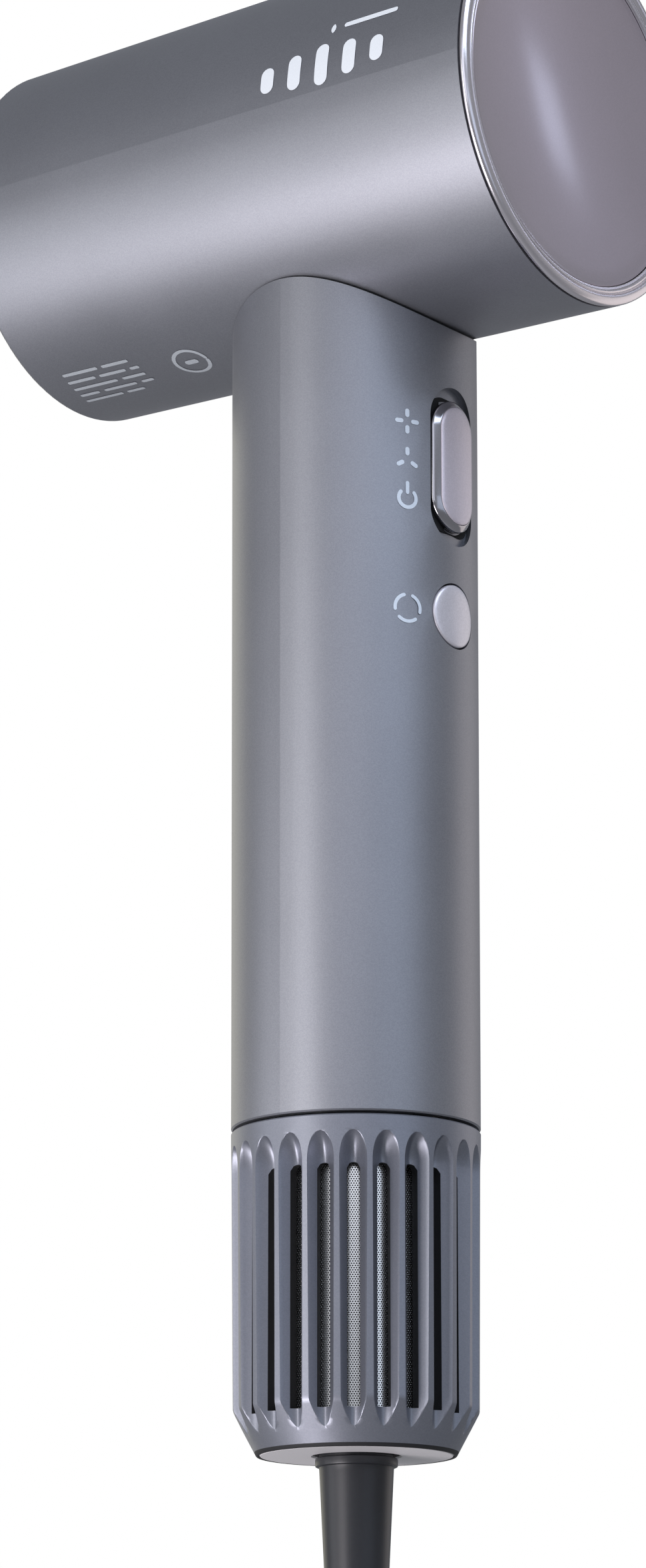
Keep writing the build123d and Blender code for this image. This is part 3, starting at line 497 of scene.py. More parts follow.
def handle_radius(z):
    return HANDLE_FOOT_R + (HANDLE_TOP_R - HANDLE_FOOT_R) * (z - HANDLE_FOOT_Z) / HANDLE_LENGTH


def barrel_radius(y):
    return BARREL_FRONT_R + (BARREL_REAR_R - BARREL_FRONT_R) * (y - BARREL_FRONT_Y) / BARREL_LENGTH


def on_handle(turn_deg, z_mid):
    """Places a flat sign on the handle: u runs round it, v runs up."""
    def wrap(u, v):
        radius = handle_radius(z_mid + v) + INK_LIFT
        angle = math.radians(turn_deg) + u / radius
        return (radius * math.cos(angle), radius * math.sin(angle), z_mid + v)
    return wrap


def on_barrel(y_mid, turn_deg):
    """Places a flat sign on the barrel: u runs towards its rear, v runs up round it."""
    def wrap(u, v):
        radius = barrel_radius(y_mid + u) + INK_LIFT
        angle = math.radians(turn_deg) + v / radius
        return (radius * math.cos(angle), y_mid + u, HEAD_Z + radius * math.sin(angle))
    return wrap


def line(start, end, steps=10):
    """Evenly spaced flat points from start to end."""
    return [
        (start[0] + (end[0] - start[0]) * i / steps, start[1] + (end[1] - start[1]) * i / steps)
        for i in range(steps + 1)
    ]


def arc(radius, start_deg, end_deg, steps=28):
    """Evenly spaced flat points on an arc round the sign's middle."""
    points = []
    for i in range(steps + 1):
        angle = math.radians(start_deg + (end_deg - start_deg) * i / steps)
        points.append((radius * math.cos(angle), radius * math.sin(angle)))
    return points


def mesh_piece(name, corners, faces):
    """A new object from its corners and faces."""
    mesh = bpy.data.meshes.new(name)
    mesh.from_pydata(corners, [], faces)
    mesh.validate()
    piece = bpy.data.objects.new(name, mesh)
    bpy.context.scene.collection.objects.link(piece)
    return piece


def inked(name, strokes, wrap, ink):
    """Builds one print from strokes, each a line of flat points and a width, with round ends."""
    corners, faces = [], []
    for points, width in strokes:
        travelled = [0.0]
        for a, b in zip(points, points[1:]):
            travelled.append(travelled[-1] + math.dist(a, b))
        total = travelled[-1]
        ends = [width / 2 * share for share in (0.04, 0.15, 0.35, 0.6)]
        stations = sorted({*travelled, *ends, *(total - end for end in ends)})
        first = len(corners)
        for distance in stations:
            k = 0
            while k < len(points) - 2 and travelled[k + 1] < distance:
                k += 1
            span = travelled[k + 1] - travelled[k]
            share = (distance - travelled[k]) / span
            a, b = points[k], points[k + 1]
            along = ((b[0] - a[0]) / span, (b[1] - a[1]) / span)
            middle = (a[0] + (b[0] - a[0]) * share, a[1] + (b[1] - a[1]) * share)
            inset = min(1.0, min(distance, total - distance) / (width / 2))
            half = width / 2 * math.sqrt(max(0.0, 1 - (1 - inset) ** 2))
            half = max(half, width * 0.02)
            for side in (-1, 0, 1):
                u = middle[0] - along[1] * half * side
                v = middle[1] + along[0] * half * side
                corners.append(wrap(u, v))
        for i in range(len(stations) - 1):
            row = first + 3 * i
            for column in (0, 1):
                faces.append((row + column, row + column + 3, row + column + 4, row + column + 1))
    print_piece = mesh_piece(name, corners, faces)
    paint(print_piece, ink)
    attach(print_piece, "dryer_body")


def fan_sign(blades):
    """Short strokes that point out from the middle, one for each blade."""
    inner, outer, width = 0.00072, 0.00222, 0.00078
    strokes = []
    for i in range(blades):
        angle = math.radians(90 + 360 * i / blades)
        side = (math.cos(angle), math.sin(angle))
        strokes.append((
            line((inner * side[0], inner * side[1]), (outer * side[0], outer * side[1])), width,
        ))
    return strokes


pale_ink = finished("pale_ink", (0.72, 0.79, 0.88), 0.5, 0.0, 3500, 0.14, 0.10, 0.02)
SIGN_TURN = 61.3
inked("sign_fast", fan_sign(4), on_handle(SIGN_TURN, 0.0575), pale_ink)
inked("sign_slow", fan_sign(3), on_handle(SIGN_TURN, 0.0507), pale_ink)
power_sign = [(arc(0.0016, 128, 412), 0.00066), (line((0, 0.0007), (0, 0.0030)), 0.00066)]
inked("sign_power", power_sign, on_handle(SIGN_TURN, 0.0439), pale_ink)
ring_sign = [(arc(0.00232, 100 + 120 * i, 195 + 120 * i, 12), 0.0006) for i in range(3)]
inked("sign_heat", ring_sign, on_handle(SIGN_TURN, 0.0247), pale_ink)


# ---------------------------------------------------------------- Printed marks on the barrel
# A plain mark of five rounded bars with a dot and a dash over it, and low on the outlet side a small
# block of plain lines with a ring, where the rating is printed.
white_ink = finished("white_ink", (0.80, 0.83, 0.86), 0.5, 0.0, 3500, 0.10, 0.08, 0.02)
bar_strokes = []
for i, share in enumerate((0.62, 0.84, 1.0, 0.84, 0.62)):
    u = (i - 2) * 0.0058
    reach = 0.0039 * share
    bar_strokes.append((line((u, -reach), (u, reach), 14), 0.0027))
inked("mark_bars", bar_strokes, on_barrel(0.0177, 8.0), white_ink)
dot_and_dash = [
    (line((-0.0078, 0), (-0.0068, 0), 4), 0.0024), (line((-0.0050, 0), (0.0062, 0), 6), 0.0010),
]
inked("mark_dash", dot_and_dash, on_barrel(0.0265, 19.6), white_ink)
grey_ink = finished("grey_ink", (0.42, 0.45, 0.48), 0.55, 0.0, 3500, 0.25, 0.15, 0.02)
rating_lines = []
for row, spans in enumerate((
    ((-0.0115, -0.0035), (-0.0025, 0.0035)), ((-0.0118, -0.0055), (-0.0045, 0.0015), (0.0025, 0.0046)),
    ((-0.0120, -0.0020), (-0.0008, 0.0044)), ((-0.0122, -0.0078), (-0.0066, 0.0008), (0.0020, 0.0047)),
    ((-0.0125, -0.0040), (-0.0030, 0.0010)),
)):
    height = 0.0042 - 0.0021 * row
    for start, end in spans:
        rating_lines.append((line((start, height), (end, height), 5), 0.00075))
inked("rating_lines", rating_lines, on_barrel(-0.0440, -74.0), grey_ink)
ring_glyph = [(arc(0.0033, 0, 360, 40), 0.0007), (line((-0.0014, 0), (0.0014, 0), 6), 0.0012)]
inked("rating_ring", ring_glyph, on_barrel(-0.0290, -74.0), grey_ink)


# ---------------------------------------------------------------- Rear trim ring and cover
# A polished ring steps down to a shallow dished cover at the barrel's rear end. Both are plated
# plastic in a warm mauve grey under clear gloss.
def turned(name, profile, axis, around, smooth_deg=35):
    """Turns an outline of (radius, place) round the handle's axis "Z" or the barrel's axis "Y"."""
    corners = []
    for radius, place in profile:
        for i in range(around):
            angle = 2 * math.pi * i / around
            u, v = radius * math.cos(angle), radius * math.sin(angle)
            corners.append((u, v, place) if axis == "Z" else (u, place, HEAD_Z + v))
    return skinned(name, corners, around, smooth_deg)


def skinned(name, corners, around, smooth_deg=35):
    """A closed piece from rings of corners that follow each other, each with "around" corners."""
    faces = []
    for start in range(0, len(corners) - around, around):
        for i in range(around):
            after = (i + 1) % around
            faces.append((start + i, start + after, start + around + after, start + around + i))
    piece = mesh_piece(name, corners, faces)
    close_mesh(piece)
    return settle(piece, name, smooth_deg)


def close_mesh(piece):
    """Merges corners that meet, fills open ends and turns every face outwards."""
    pick(piece)
    bpy.ops.object.mode_set(mode="EDIT")
    bpy.ops.mesh.select_all(action="SELECT")
    bpy.ops.mesh.remove_doubles(threshold=0.000001)
    bpy.ops.mesh.fill_holes(sides=0)
    bpy.ops.mesh.select_all(action="SELECT")
    bpy.ops.mesh.normals_make_consistent(inside=False)
    bpy.ops.object.mode_set(mode="OBJECT")


trim_ring = turned("trim_ring", [
    (0.03195, 0.0430), (0.03195, 0.04655), (0.03350, 0.04655), (0.03378, 0.04662), (0.03384, 0.04680),
    (0.03380, 0.04705), (0.03362, 0.04732), (0.03330, 0.04752), (0.03290, 0.04765), (0.03245, 0.04769),
    (0.03212, 0.04766), (0.03196, 0.04752), (0.03188, 0.04730), (0.03180, 0.04722), (0.03165, 0.04722),
    (0.03158, 0.04735), (0.03146, 0.04741), (0.03118, 0.04741), (0.03106, 0.04733), (0.03100, 0.04712),
    (0.03094, 0.04700), (0.03060, 0.04698), (0.03050, 0.04690), (0.03050, 0.0440), (0.02935, 0.0440),
    (0.02935, 0.0415), (0.03185, 0.0415), (0.03195, 0.0430),
], "Y", 160)
ring_polish = finished("mauve_polish", (0.78, 0.74, 0.78), 0.22, 1.0, 1800, 0.04, 0.10, 0.0)
paint(trim_ring, ring_polish)
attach(trim_ring, "dryer_body")
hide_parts("rear_trim_ring")

DISH_R = 0.0304
DISH_MID_Y = 0.04455
DISH_DEPTH = 0.00215
DISH_STEPS = 14
dish = []
for i in range(DISH_STEPS + 1):
    radius = DISH_R * 0.965 * i / DISH_STEPS
    dish.append((radius, DISH_MID_Y + DISH_DEPTH * (radius / DISH_R) ** 2))
dish += [
    (0.02985, 0.04668), (0.03010, 0.04682), (0.03028, 0.04684), (0.03040, 0.04674), (0.03040, 0.04410),
    (0.0, 0.04410),
]
rear_dish = turned("rear_dish", dish, "Y", 128)
cover_gloss = lacquered("mauve_gloss", (0.51, 0.44, 0.485), 0.30, 0.8, 5200, 0.06, 0.04, (0.9, 0.11))
paint(rear_dish, cover_gloss)
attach(rear_dish, "dryer_body")
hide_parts("rear_cover")


# ---------------------------------------------------------------- Speed slider
# A long pill with a plated bevelled frame round a satin mauve face, which slides up and down its
# shallow recess between three steps.
KNOB_Z = 0.0515
PLATE_AROUND = 72


def pill_outline(half_length, half_width, corner):
    """Outline of an upright plate with rounded corners, as (u, v) from its middle."""
    points = []
    for i in range(PLATE_AROUND):
        angle = 2 * math.pi * (i + 0.5) / PLATE_AROUND
        across = math.copysign(half_width - corner, math.cos(angle))
        along = math.copysign(half_length - corner, math.sin(angle))
        points.append((across + corner * math.cos(angle), along + corner * math.sin(angle)))
    return points


def domed_plate(name, rings, corner_share=1.0):
    """A plate round the slider's place from outlines of (half length, half width, radius)."""
    corners = []
    for half_length, half_width, radius in rings:
        for u, v in pill_outline(half_length, half_width, half_width * corner_share):
            corners.append((u, math.sqrt(radius * radius - u * u), KNOB_Z + v))
    return skinned(name, corners, PLATE_AROUND)


knob_frame = domed_plate("knob_frame", [
    (0.01150, 0.00550, 0.0204), (0.01158, 0.00558, 0.0208), (0.01157, 0.00557, 0.02112),
    (0.01150, 0.00550, 0.02128), (0.01138, 0.00538, 0.02140), (0.01066, 0.00466, 0.02186),
    (0.01054, 0.00454, 0.02192), (0.01046, 0.00446, 0.02193), (0.01042, 0.00442, 0.02186),
    (0.01042, 0.00442, 0.0204), (0.01150, 0.00550, 0.0204),
])
knob_face = domed_plate("knob_face", [
    (0.01039, 0.00439, 0.0204), (0.01039, 0.00439, 0.02190), (0.01035, 0.00435, 0.02202),
    (0.01024, 0.00424, 0.02211), (0.00990, 0.00390, 0.02219), (0.00930, 0.00330, 0.02224),
    (0.00850, 0.00250, 0.02227), (0.00760, 0.00160, 0.02229), (0.00680, 0.00080, 0.0223),
])
plating = finished("smoked_plating", (0.46, 0.45, 0.48), 0.16, 1.0, 1500, 0.05, 0.15, 0.0)
paint(knob_frame, plating)
knob_satin = lacquered("mauve_satin", (0.66, 0.60, 0.66), 0.42, 0.5, 5200, 0.10, 0.05, (0.3, 0.2))
paint(knob_face, knob_satin)
for piece, node, slot in (
    (knob_frame, "slider_trim", "knob_chrome"), (knob_face, "slider_knob", "knob_gloss"),
):
    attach(piece, "speed_slider")
    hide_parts(node)

# A near-black sheet on the recess floor, a little larger than the knob, is painted shade: it darkens the
# recess round the knob's ends. It also covers the slot that the slider's stem runs in.
recess_shade_sheet = domed_plate("recess_shade_sheet", [
    (0.01190, 0.00570, 0.02012), (0.01198, 0.00578, 0.02018), (0.01198, 0.00578, 0.02030),
    (0.01190, 0.00570, 0.02036),
], 0.62)
# Painted shade: a near-black colour for the shade in the recess round the knob.
painted_recess_shade = finished("painted_recess_shade", (0.006, 0.006, 0.007), 0.9, 0.0, 3000, 0.5, 0.2, 0.3)
paint(recess_shade_sheet, painted_recess_shade)
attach(recess_shade_sheet, "dryer_body")


# ---------------------------------------------------------------- Heat button
# A round push button with a slightly domed satin face, flush with the handle, in a thin dark gap.
# Its flange and stem are moulded with the cap.
BUTTON_Z = 0.0251
# Each ring is (radius, place, curved): a curved ring follows a cylinder of that radius round the
# handle's axis, and a flat one stands at that place along +Y.
BUTTON_RINGS = [
    (0.0015, 0.0150, False), (0.0015, 0.0158, False), (0.0066, 0.0158, False), (0.0066, 0.0172, False),
    (0.0054, 0.0172, False), (0.0054, 0.02085, True), (0.00536, 0.02108, True), (0.00522, 0.02124, True),
    (0.0049, 0.02134, True), (0.0040, 0.02140, True), (0.0026, 0.021435, True), (0.0012, 0.021445, True),
]
button_corners = []
for radius, place, curved in BUTTON_RINGS:
    for i in range(PLATE_AROUND):
        angle = 2 * math.pi * i / PLATE_AROUND
        u = radius * math.cos(angle)
        y = math.sqrt(place * place - u * u) if curved else place
        button_corners.append((u, y, BUTTON_Z + radius * math.sin(angle)))
button_cap = skinned("button_cap", button_corners, PLATE_AROUND)
button_satin = lacquered("button_satin", (0.72, 0.69, 0.74), 0.38, 0.5, 5200, 0.12, 0.06, (0.25, 0.2))
paint(button_cap, button_satin)
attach(button_cap, "push_button")
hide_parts("heat_button")


# ---------------------------------------------------------------- Air intake cage
# A moulded sleeve with 24 scooped grooves, each with an air slot at its bottom, that pulls down off
# the handle for cleaning. It has the handle's colour in a duller finish.
CAGE_TOP_Z = -0.06105
CAGE_CHAMFER_Z = -0.1072
CAGE_FOOT_Z = -0.1144
CAGE_FLOOR_Z = -0.1114
CAGE_TOP_R = 0.0208
CAGE_CHAMFER_R = 0.02032
CAGE_FOOT_R = 0.01645
CAGE_BORE_R = 0.0170
CAGE_RIM_R = 0.01350
CAGE_RIM_UP = 0.0016
GROOVES = 24
GROOVE_TURN = 35.3
GROOVE_ROOT_R = 0.0181
GROOVE_DEPTH = 0.0027
GROOVE_HALF = 0.0023
GROOVE_TIP_Z = -0.06375
GROOVE_END_Z = -0.1113
SLOT_TOP_Z = -0.0687
SLOT_FOOT_Z = -0.1083
SLOT_HALF = 0.001075
RUNOUT_R = 0.0059


def cage_radius(z):
    """Radius of the plain outside, which tapers down to a chamfer at the foot."""
    if z > CAGE_CHAMFER_Z:
        down = (CAGE_TOP_Z - z) / (CAGE_TOP_Z - CAGE_CHAMFER_Z)
        return CAGE_TOP_R - (CAGE_TOP_R - CAGE_CHAMFER_R) * down
    down = (CAGE_CHAMFER_Z - z) / (CAGE_CHAMFER_Z - CAGE_FOOT_Z)
    return CAGE_CHAMFER_R - (CAGE_CHAMFER_R - CAGE_FOOT_R) * down


def groove_root(z):
    """Radius of a groove's bottom, which runs out upwards along an arc."""
    rise = z - SLOT_TOP_Z
    if rise <= 0:
        return GROOVE_ROOT_R
    if rise >= RUNOUT_R:
        return GROOVE_ROOT_R + RUNOUT_R
    return GROOVE_ROOT_R + RUNOUT_R - math.sqrt(RUNOUT_R ** 2 - rise ** 2)


def cage_station(z, column):
    """Sideways place and radius of the outer surface at one height, for one column of a groove."""
    outside = cage_radius(z)
    depth = max(0.0, outside - groove_root(z))
    half = GROOVE_HALF * (depth / GROOVE_DEPTH) ** 0.6
    spread = half
    if depth == 0:
        tip = GROOVE_TIP_Z if z > SLOT_TOP_Z else GROOVE_END_Z
        spread = min(0.0016, 0.0001 + abs(z - tip) * 0.9)
    edge = 0.48
    if SLOT_FOOT_Z <= z <= SLOT_TOP_Z:
        edge = SLOT_HALF / spread
    kind, share = column
    sector = outside * math.sin(math.pi / GROOVES)
    if kind == "inside":
        side = spread * edge * share
    elif kind == "flank":
        side = math.copysign(spread * (edge + (1 - edge) * abs(share)), share)
    else:
        side = math.copysign(spread + (sector - spread) * abs(share), share)
    radius = outside
    if half > 0 and abs(side) < half:
        radius = outside - depth * (1 - (abs(side) / half) ** 1.7)
    if kind == "flank" and abs(share) == 1.0 and half > 0:
        radius -= min(0.00005, depth * 0.2)
    return side, radius


columns = [("crest", -0.5), ("crest", -0.06)]
columns += [("flank", -share) for share in (1.0, 0.93, 0.7, 0.35)]
columns += [("inside", share) for share in (-1.0, -0.62, -0.3, 0.0, 0.3, 0.62, 1.0)]
columns += [("flank", share) for share in (0.35, 0.7, 0.93, 1.0)]
columns += [("crest", 0.06), ("crest", 0.5), ("crest", 1.0)]
first_inside = columns.index(("inside", -1.0))
last_inside = columns.index(("inside", 1.0))
SLOT_ARCH_Z = SLOT_TOP_Z - SLOT_HALF
outer_z = [-0.0613, -0.0620, -0.0629, -0.0634, GROOVE_TIP_Z, -0.06382, -0.0639, -0.06405, -0.0643]
outer_z += [-0.0646, -0.0650, -0.0655, -0.0661, -0.0668, -0.0676, -0.0682, SLOT_ARCH_Z, -0.0715]
outer_z += [-0.0750, -0.0800, -0.0850, -0.0900, -0.0950, -0.1000, -0.1040, -0.1064, -0.10700, -0.10745]
outer_z += [-0.1079, SLOT_FOOT_Z, -0.1087, -0.1091, -0.1095, -0.1099, -0.1103, -0.1106, -0.1109]
outer_z += [-0.1111, -0.11122, GROOVE_END_Z, -0.1118, -0.1126, -0.1138]
slot_first = outer_z.index(SLOT_ARCH_Z)
slot_last = outer_z.index(SLOT_FOOT_Z)
cage_points, cage_faces = [], []
around = GROOVES * len(columns)


def cage_ring(places):
    """Adds one ring of corners from a (side, radius, z) for each column of a groove."""
    for groove in range(GROOVES):
        middle = math.radians(GROOVE_TURN) + 2 * math.pi * groove / GROOVES
        for side, radius, z in places:
            angle = middle + math.asin(side / radius)
            cage_points.append((radius * math.cos(angle), radius * math.sin(angle), z))


def plain_ring(radius, z):
    """A round ring whose columns stand evenly apart."""
    places = []
    sector = radius * math.sin(math.pi / GROOVES)
    for index in range(len(columns)):
        places.append((sector * ((index + 1) / len(columns) * 2 - 1), radius, z))
    cage_ring(places)


def bore_ring(z, arch):
    """A ring of the bore, whose columns stand behind those of the slot's edges."""
    places = []
    sector = CAGE_BORE_R * math.sin(math.pi / GROOVES)
    outside_steps = len(columns) - 1 - last_inside
    for index, (kind, share) in enumerate(columns):
        if kind == "inside":
            side = SLOT_HALF * share
            rise = math.sqrt(max(0.0, SLOT_HALF ** 2 - side ** 2)) if arch else 0.0
            places.append((side, CAGE_BORE_R, z + rise))
            continue
        steps = first_inside - index if index < first_inside else index - last_inside
        count = first_inside + 1 if index < first_inside else outside_steps
        side = SLOT_HALF + (sector - SLOT_HALF) * steps / count
        places.append((-side if index < first_inside else side, CAGE_BORE_R, z))
    cage_ring(places)


plain_ring(0.02058, CAGE_TOP_Z - 0.00002)
for z in outer_z:
    ring = []
    for column in columns:
        side, radius = cage_station(z, column)
        rise = 0.0
        if z == SLOT_ARCH_Z and column[0] == "inside":
            rise = math.sqrt(max(0.0, SLOT_HALF ** 2 - side ** 2))
        ring.append((side, radius, z + rise))
    cage_ring(ring)
foot_rings = [
    (0.01652, CAGE_FOOT_Z + 0.00012), (0.01640, CAGE_FOOT_Z), (0.01608, CAGE_FOOT_Z),
    (0.01605, CAGE_FOOT_Z + CAGE_RIM_UP), (CAGE_RIM_R, CAGE_FOOT_Z + CAGE_RIM_UP), (CAGE_RIM_R, CAGE_FLOOR_Z),
]
for radius, z in foot_rings:
    plain_ring(radius, z)
bore_start = 1 + len(outer_z) + len(foot_rings)
bore_z = [CAGE_FLOOR_Z] + [z for z in reversed(outer_z) if z >= SLOT_FOOT_Z]
for z in bore_z:
    bore_ring(z, z == SLOT_ARCH_Z)
rings = bore_start + len(bore_z)


def is_slot(ring, column):
    """Whether the cell that starts at this ring and column is part of the open slot."""
    if not first_inside <= column % len(columns) < last_inside:
        return False
    if 1 + slot_first <= ring < 1 + slot_last:
        return True
    back_first = bore_start + bore_z.index(SLOT_FOOT_Z)
    return back_first <= ring < bore_start + bore_z.index(SLOT_ARCH_Z)


for ring in range(rings):
    after_ring = (ring + 1) % rings
    for column in range(around):
        after = (column + 1) % around
        if not is_slot(ring, column):
            cage_faces.append((
                ring * around + column, ring * around + after,
                after_ring * around + after, after_ring * around + column,
            ))


def back_ring(ring):
    """The ring of the bore at the same height as a ring of the outside."""
    return bore_start + bore_z.index(outer_z[ring - 1])


for groove in range(GROOVES):
    left = groove * len(columns) + first_inside
    right = groove * len(columns) + last_inside
    for ring in range(1 + slot_first, 1 + slot_last):
        for column in (left, right):
            cage_faces.append((
                ring * around + column, (ring + 1) * around + column,
                back_ring(ring + 1) * around + column, back_ring(ring) * around + column,
            ))
    for ring in (1 + slot_first, 1 + slot_last):
        for column in range(left, right):
            cage_faces.append((
                ring * around + column, ring * around + column + 1,
                back_ring(ring) * around + column + 1, back_ring(ring) * around + column,
            ))
cage_sleeve = mesh_piece("cage_sleeve", cage_points, cage_faces)
close_mesh(cage_sleeve)
settle(cage_sleeve, "cage_sleeve", 32)
cage_finish = lacquered("gunmetal_matte", (0.25, 0.26, 0.30), 0.42, 0.75, 5200, 0.10, 0.06)
# Painted shade: a near-black colour for the slot walls and the bore, which lie in shade inside the cage.
cage_painted_shade = finished("cage_painted_shade", (0.012, 0.012, 0.014), 0.6, 0.0, 1600, 0.3, 0.2, 0.1)
paint(cage_sleeve, cage_finish)
cage_sleeve.data.materials.append(cage_painted_shade)
# The slots' side walls and the bore get the painted shade.
for face in cage_sleeve.data.polygons:
    out = Vector((face.center.x, face.center.y, 0))
    in_slot = SLOT_FOOT_Z - 0.0001 < face.center.z < SLOT_TOP_Z and out.length < GROOVE_ROOT_R + 0.0006
    facing = abs(Vector(face.normal).dot(out.normalized()))
    if (in_slot and facing < 0.5) or out.length < CAGE_BORE_R + 0.00005:
        face.material_index = 1
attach(cage_sleeve, "filter_cage")
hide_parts("intake_cage")
disc_finish = finished("pale_disc", (0.90, 0.87, 0.88), 0.4, 0.1, 1800, 0.08, 0.06, 0.03)
paint(nodes["base_disc"], disc_finish)


# ---------------------------------------------------------------- Filter core and mesh
# A black moulded core carries a rolled sheet of stainless steel, punched with fine staggered holes,
# behind the cage's slots.
def punched_group():
    """Staggered round holes on an upright cylinder: 1 on the metal and 0 in a hole."""
    row_step = 0.866            # rows of a staggered pattern, in pitches
    tree, inputs, outputs = new_group(
        "punched_sheet", [("Radius", 0.016), ("Pitch", 0.00042), ("Hole", 0.25)], [("Metal", "Float")],
    )

    def step(operation, *values):
        return worked(tree, operation, *values)

    axes = new_node(tree, "SeparateXYZ", {0: own_place(tree)})
    turn = step("ARCTAN2", axes.outputs["Y"], axes.outputs["X"])
    along = step("DIVIDE", step("MULTIPLY", turn, inputs["Radius"]), inputs["Pitch"])
    up = step("DIVIDE", axes.outputs["Z"], step("MULTIPLY", inputs["Pitch"], row_step))
    shift = step("MULTIPLY", step("MODULO", step("ABSOLUTE", step("FLOOR", up)), 2.0), 0.5)
    across = step("SUBTRACT", step("FRACT", step("ADD", along, shift)), 0.5)
    rise = step("MULTIPLY", step("SUBTRACT", step("FRACT", up), 0.5), row_step)
    far = step("SQRT", step("ADD", step("MULTIPLY", across, across), step("MULTIPLY", rise, rise)))
    near_edge, far_edge = step("SUBTRACT", inputs["Hole"], 0.05), step("ADD", inputs["Hole"], 0.05)
    edge = new_node(tree, "MapRange", {"Value": far, "From Min": near_edge, "From Max": far_edge})
    tree.links.new(edge.outputs["Result"], outputs["Metal"])
    return tree


def toned(tree, factor, dark, light):
    """A colour between two, by a factor."""
    inputs = {"Factor": factor, "A": (*dark, 1), "B": (*light, 1)}
    return new_node(tree, "Mix", inputs, data_type="RGBA").outputs["Result"]


mesh_steel, mesh_shader = new_material("punched_steel", (0.75, 0.75, 0.76), 0.20, 1.0)
mesh_tree = mesh_steel.node_tree
punched = mesh_tree.nodes.new("ShaderNodeGroup")
punched.node_tree = punched_group()
metal = punched.outputs["Metal"]
sheet_rough = new_node(mesh_tree, "MapRange", {"Value": metal, "To Min": 0.85, "To Max": 0.22})
join(mesh_tree, (
    (metal, mesh_shader.inputs["Metallic"]),
    (toned(mesh_tree, metal, (0.006, 0.006, 0.007), (0.96, 0.96, 0.96)), mesh_shader.inputs["Base Color"]),
    (sheet_rough.outputs["Result"], mesh_shader.inputs["Roughness"]),
    (bumped(mesh_tree, metal, 0.5, 0.0001), mesh_shader.inputs["Normal"]),
))
paint(nodes["mesh_filter"], mesh_steel)
inner_plastic = finished("inner_plastic", (0.02, 0.021, 0.023), 0.5, 0.0, 1600, 0.3, 0.2, 0.12)
paint_nodes(inner_plastic, "intake_core", "handle_chassis", "rear_bulkhead", "cord_clamp", "slider_carriage")
magnet_nickel = finished("magnet_nickel", (0.66, 0.65, 0.62), 0.25, 1.0, 1800, 0.08, 0.2, 0.03)
paint_nodes(magnet_nickel, "core_magnets", "cage_magnets", "nozzle_magnets", "rotor_magnet")


# ---------------------------------------------------------------- Boot of the lead
# The tapered rubber boot at the dryer's foot, moulded in satin charcoal under a thin collar. Shallow
# rings low down let it bend with the lead.
BOOT_R = 0.00612
BOOT_TAPER = 0.00172
BOOT_TOP_Z = -0.1166
BOOT_FOOT_Z = -0.1520
BOOT_LENGTH = 0.0354
BOOT_STEPS = 60
RIBS_TOP_Z = -0.1330
RIB_PITCH = 0.0036
RIB_DEPTH = 0.00022
boot_profile = [
    (0.0, -0.1085), (0.0049, -0.1085), (0.0049, -0.1110), (BOOT_R, -0.1110), (BOOT_R, -0.11472),
    (0.00655, -0.11474), (0.00674, -0.11484), (0.00679, -0.11504), (0.00679, -0.11588),
    (0.00674, -0.11608), (0.00655, -0.11618), (0.00618, -0.11622), (BOOT_R, BOOT_TOP_Z),
]
for i in range(1, BOOT_STEPS):
    z = BOOT_TOP_Z - BOOT_LENGTH * i / BOOT_STEPS
    taper = BOOT_R - BOOT_TAPER * (BOOT_TOP_Z - z) / BOOT_LENGTH
    low = min(1.0, max(0.0, (RIBS_TOP_Z - z) / 0.004))
    rib = 0.5 - 0.5 * math.cos(2 * math.pi * (z - RIBS_TOP_Z) / RIB_PITCH)
    boot_profile.append((taper - RIB_DEPTH * low * rib, z))
boot_profile += [(0.00430, BOOT_FOOT_Z + 0.0001), (0.00415, BOOT_FOOT_Z), (0.0, BOOT_FOOT_Z)]
boot = turned("lead_boot", boot_profile, "Z", 64, 40)
boot_rubber = finished("boot_rubber", (0.022, 0.023, 0.027), 0.36, 0.0, 1400, 0.2, 0.15, 0.06)
paint(boot, boot_rubber)
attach(boot, "dryer_body")
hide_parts("strain_relief")


# ---------------------------------------------------------------- Air outlet and heater
# A black outlet ring holds a fine black grille and four nickelled magnets for nozzles. Behind it a
# mica tube and two mica plates carry coils of oxidised resistance wire.
outlet_black = finished("outlet_black", (0.018, 0.018, 0.02), 0.42, 0.0, 1500, 0.3, 0.15, 0.10)
paint_nodes(outlet_black, "outlet_bezel", "outlet_grille")
mica = finished("mica_sheet", (0.56, 0.44, 0.30), 0.35, 0.0, 700, 0.5, 0.5, 0.2)
paint_nodes(mica, "heat_liner", "heater_plates")
heater_wire = finished("heater_wire", (0.30, 0.26, 0.24), 0.42, 1.0, 1600, 0.2, 0.7, 0.1)
paint(nodes["heater_coils"], heater_wire)
part_black = finished("part_black", (0.025, 0.025, 0.027), 0.38, 0.0, 1300, 0.2, 0.2, 0.1)
paint_nodes(
    part_black, "thermostat", "thermal_fuse", "ion_emitter", "capacitor", "ion_module", "slide_switch",
    "button_switch",
)


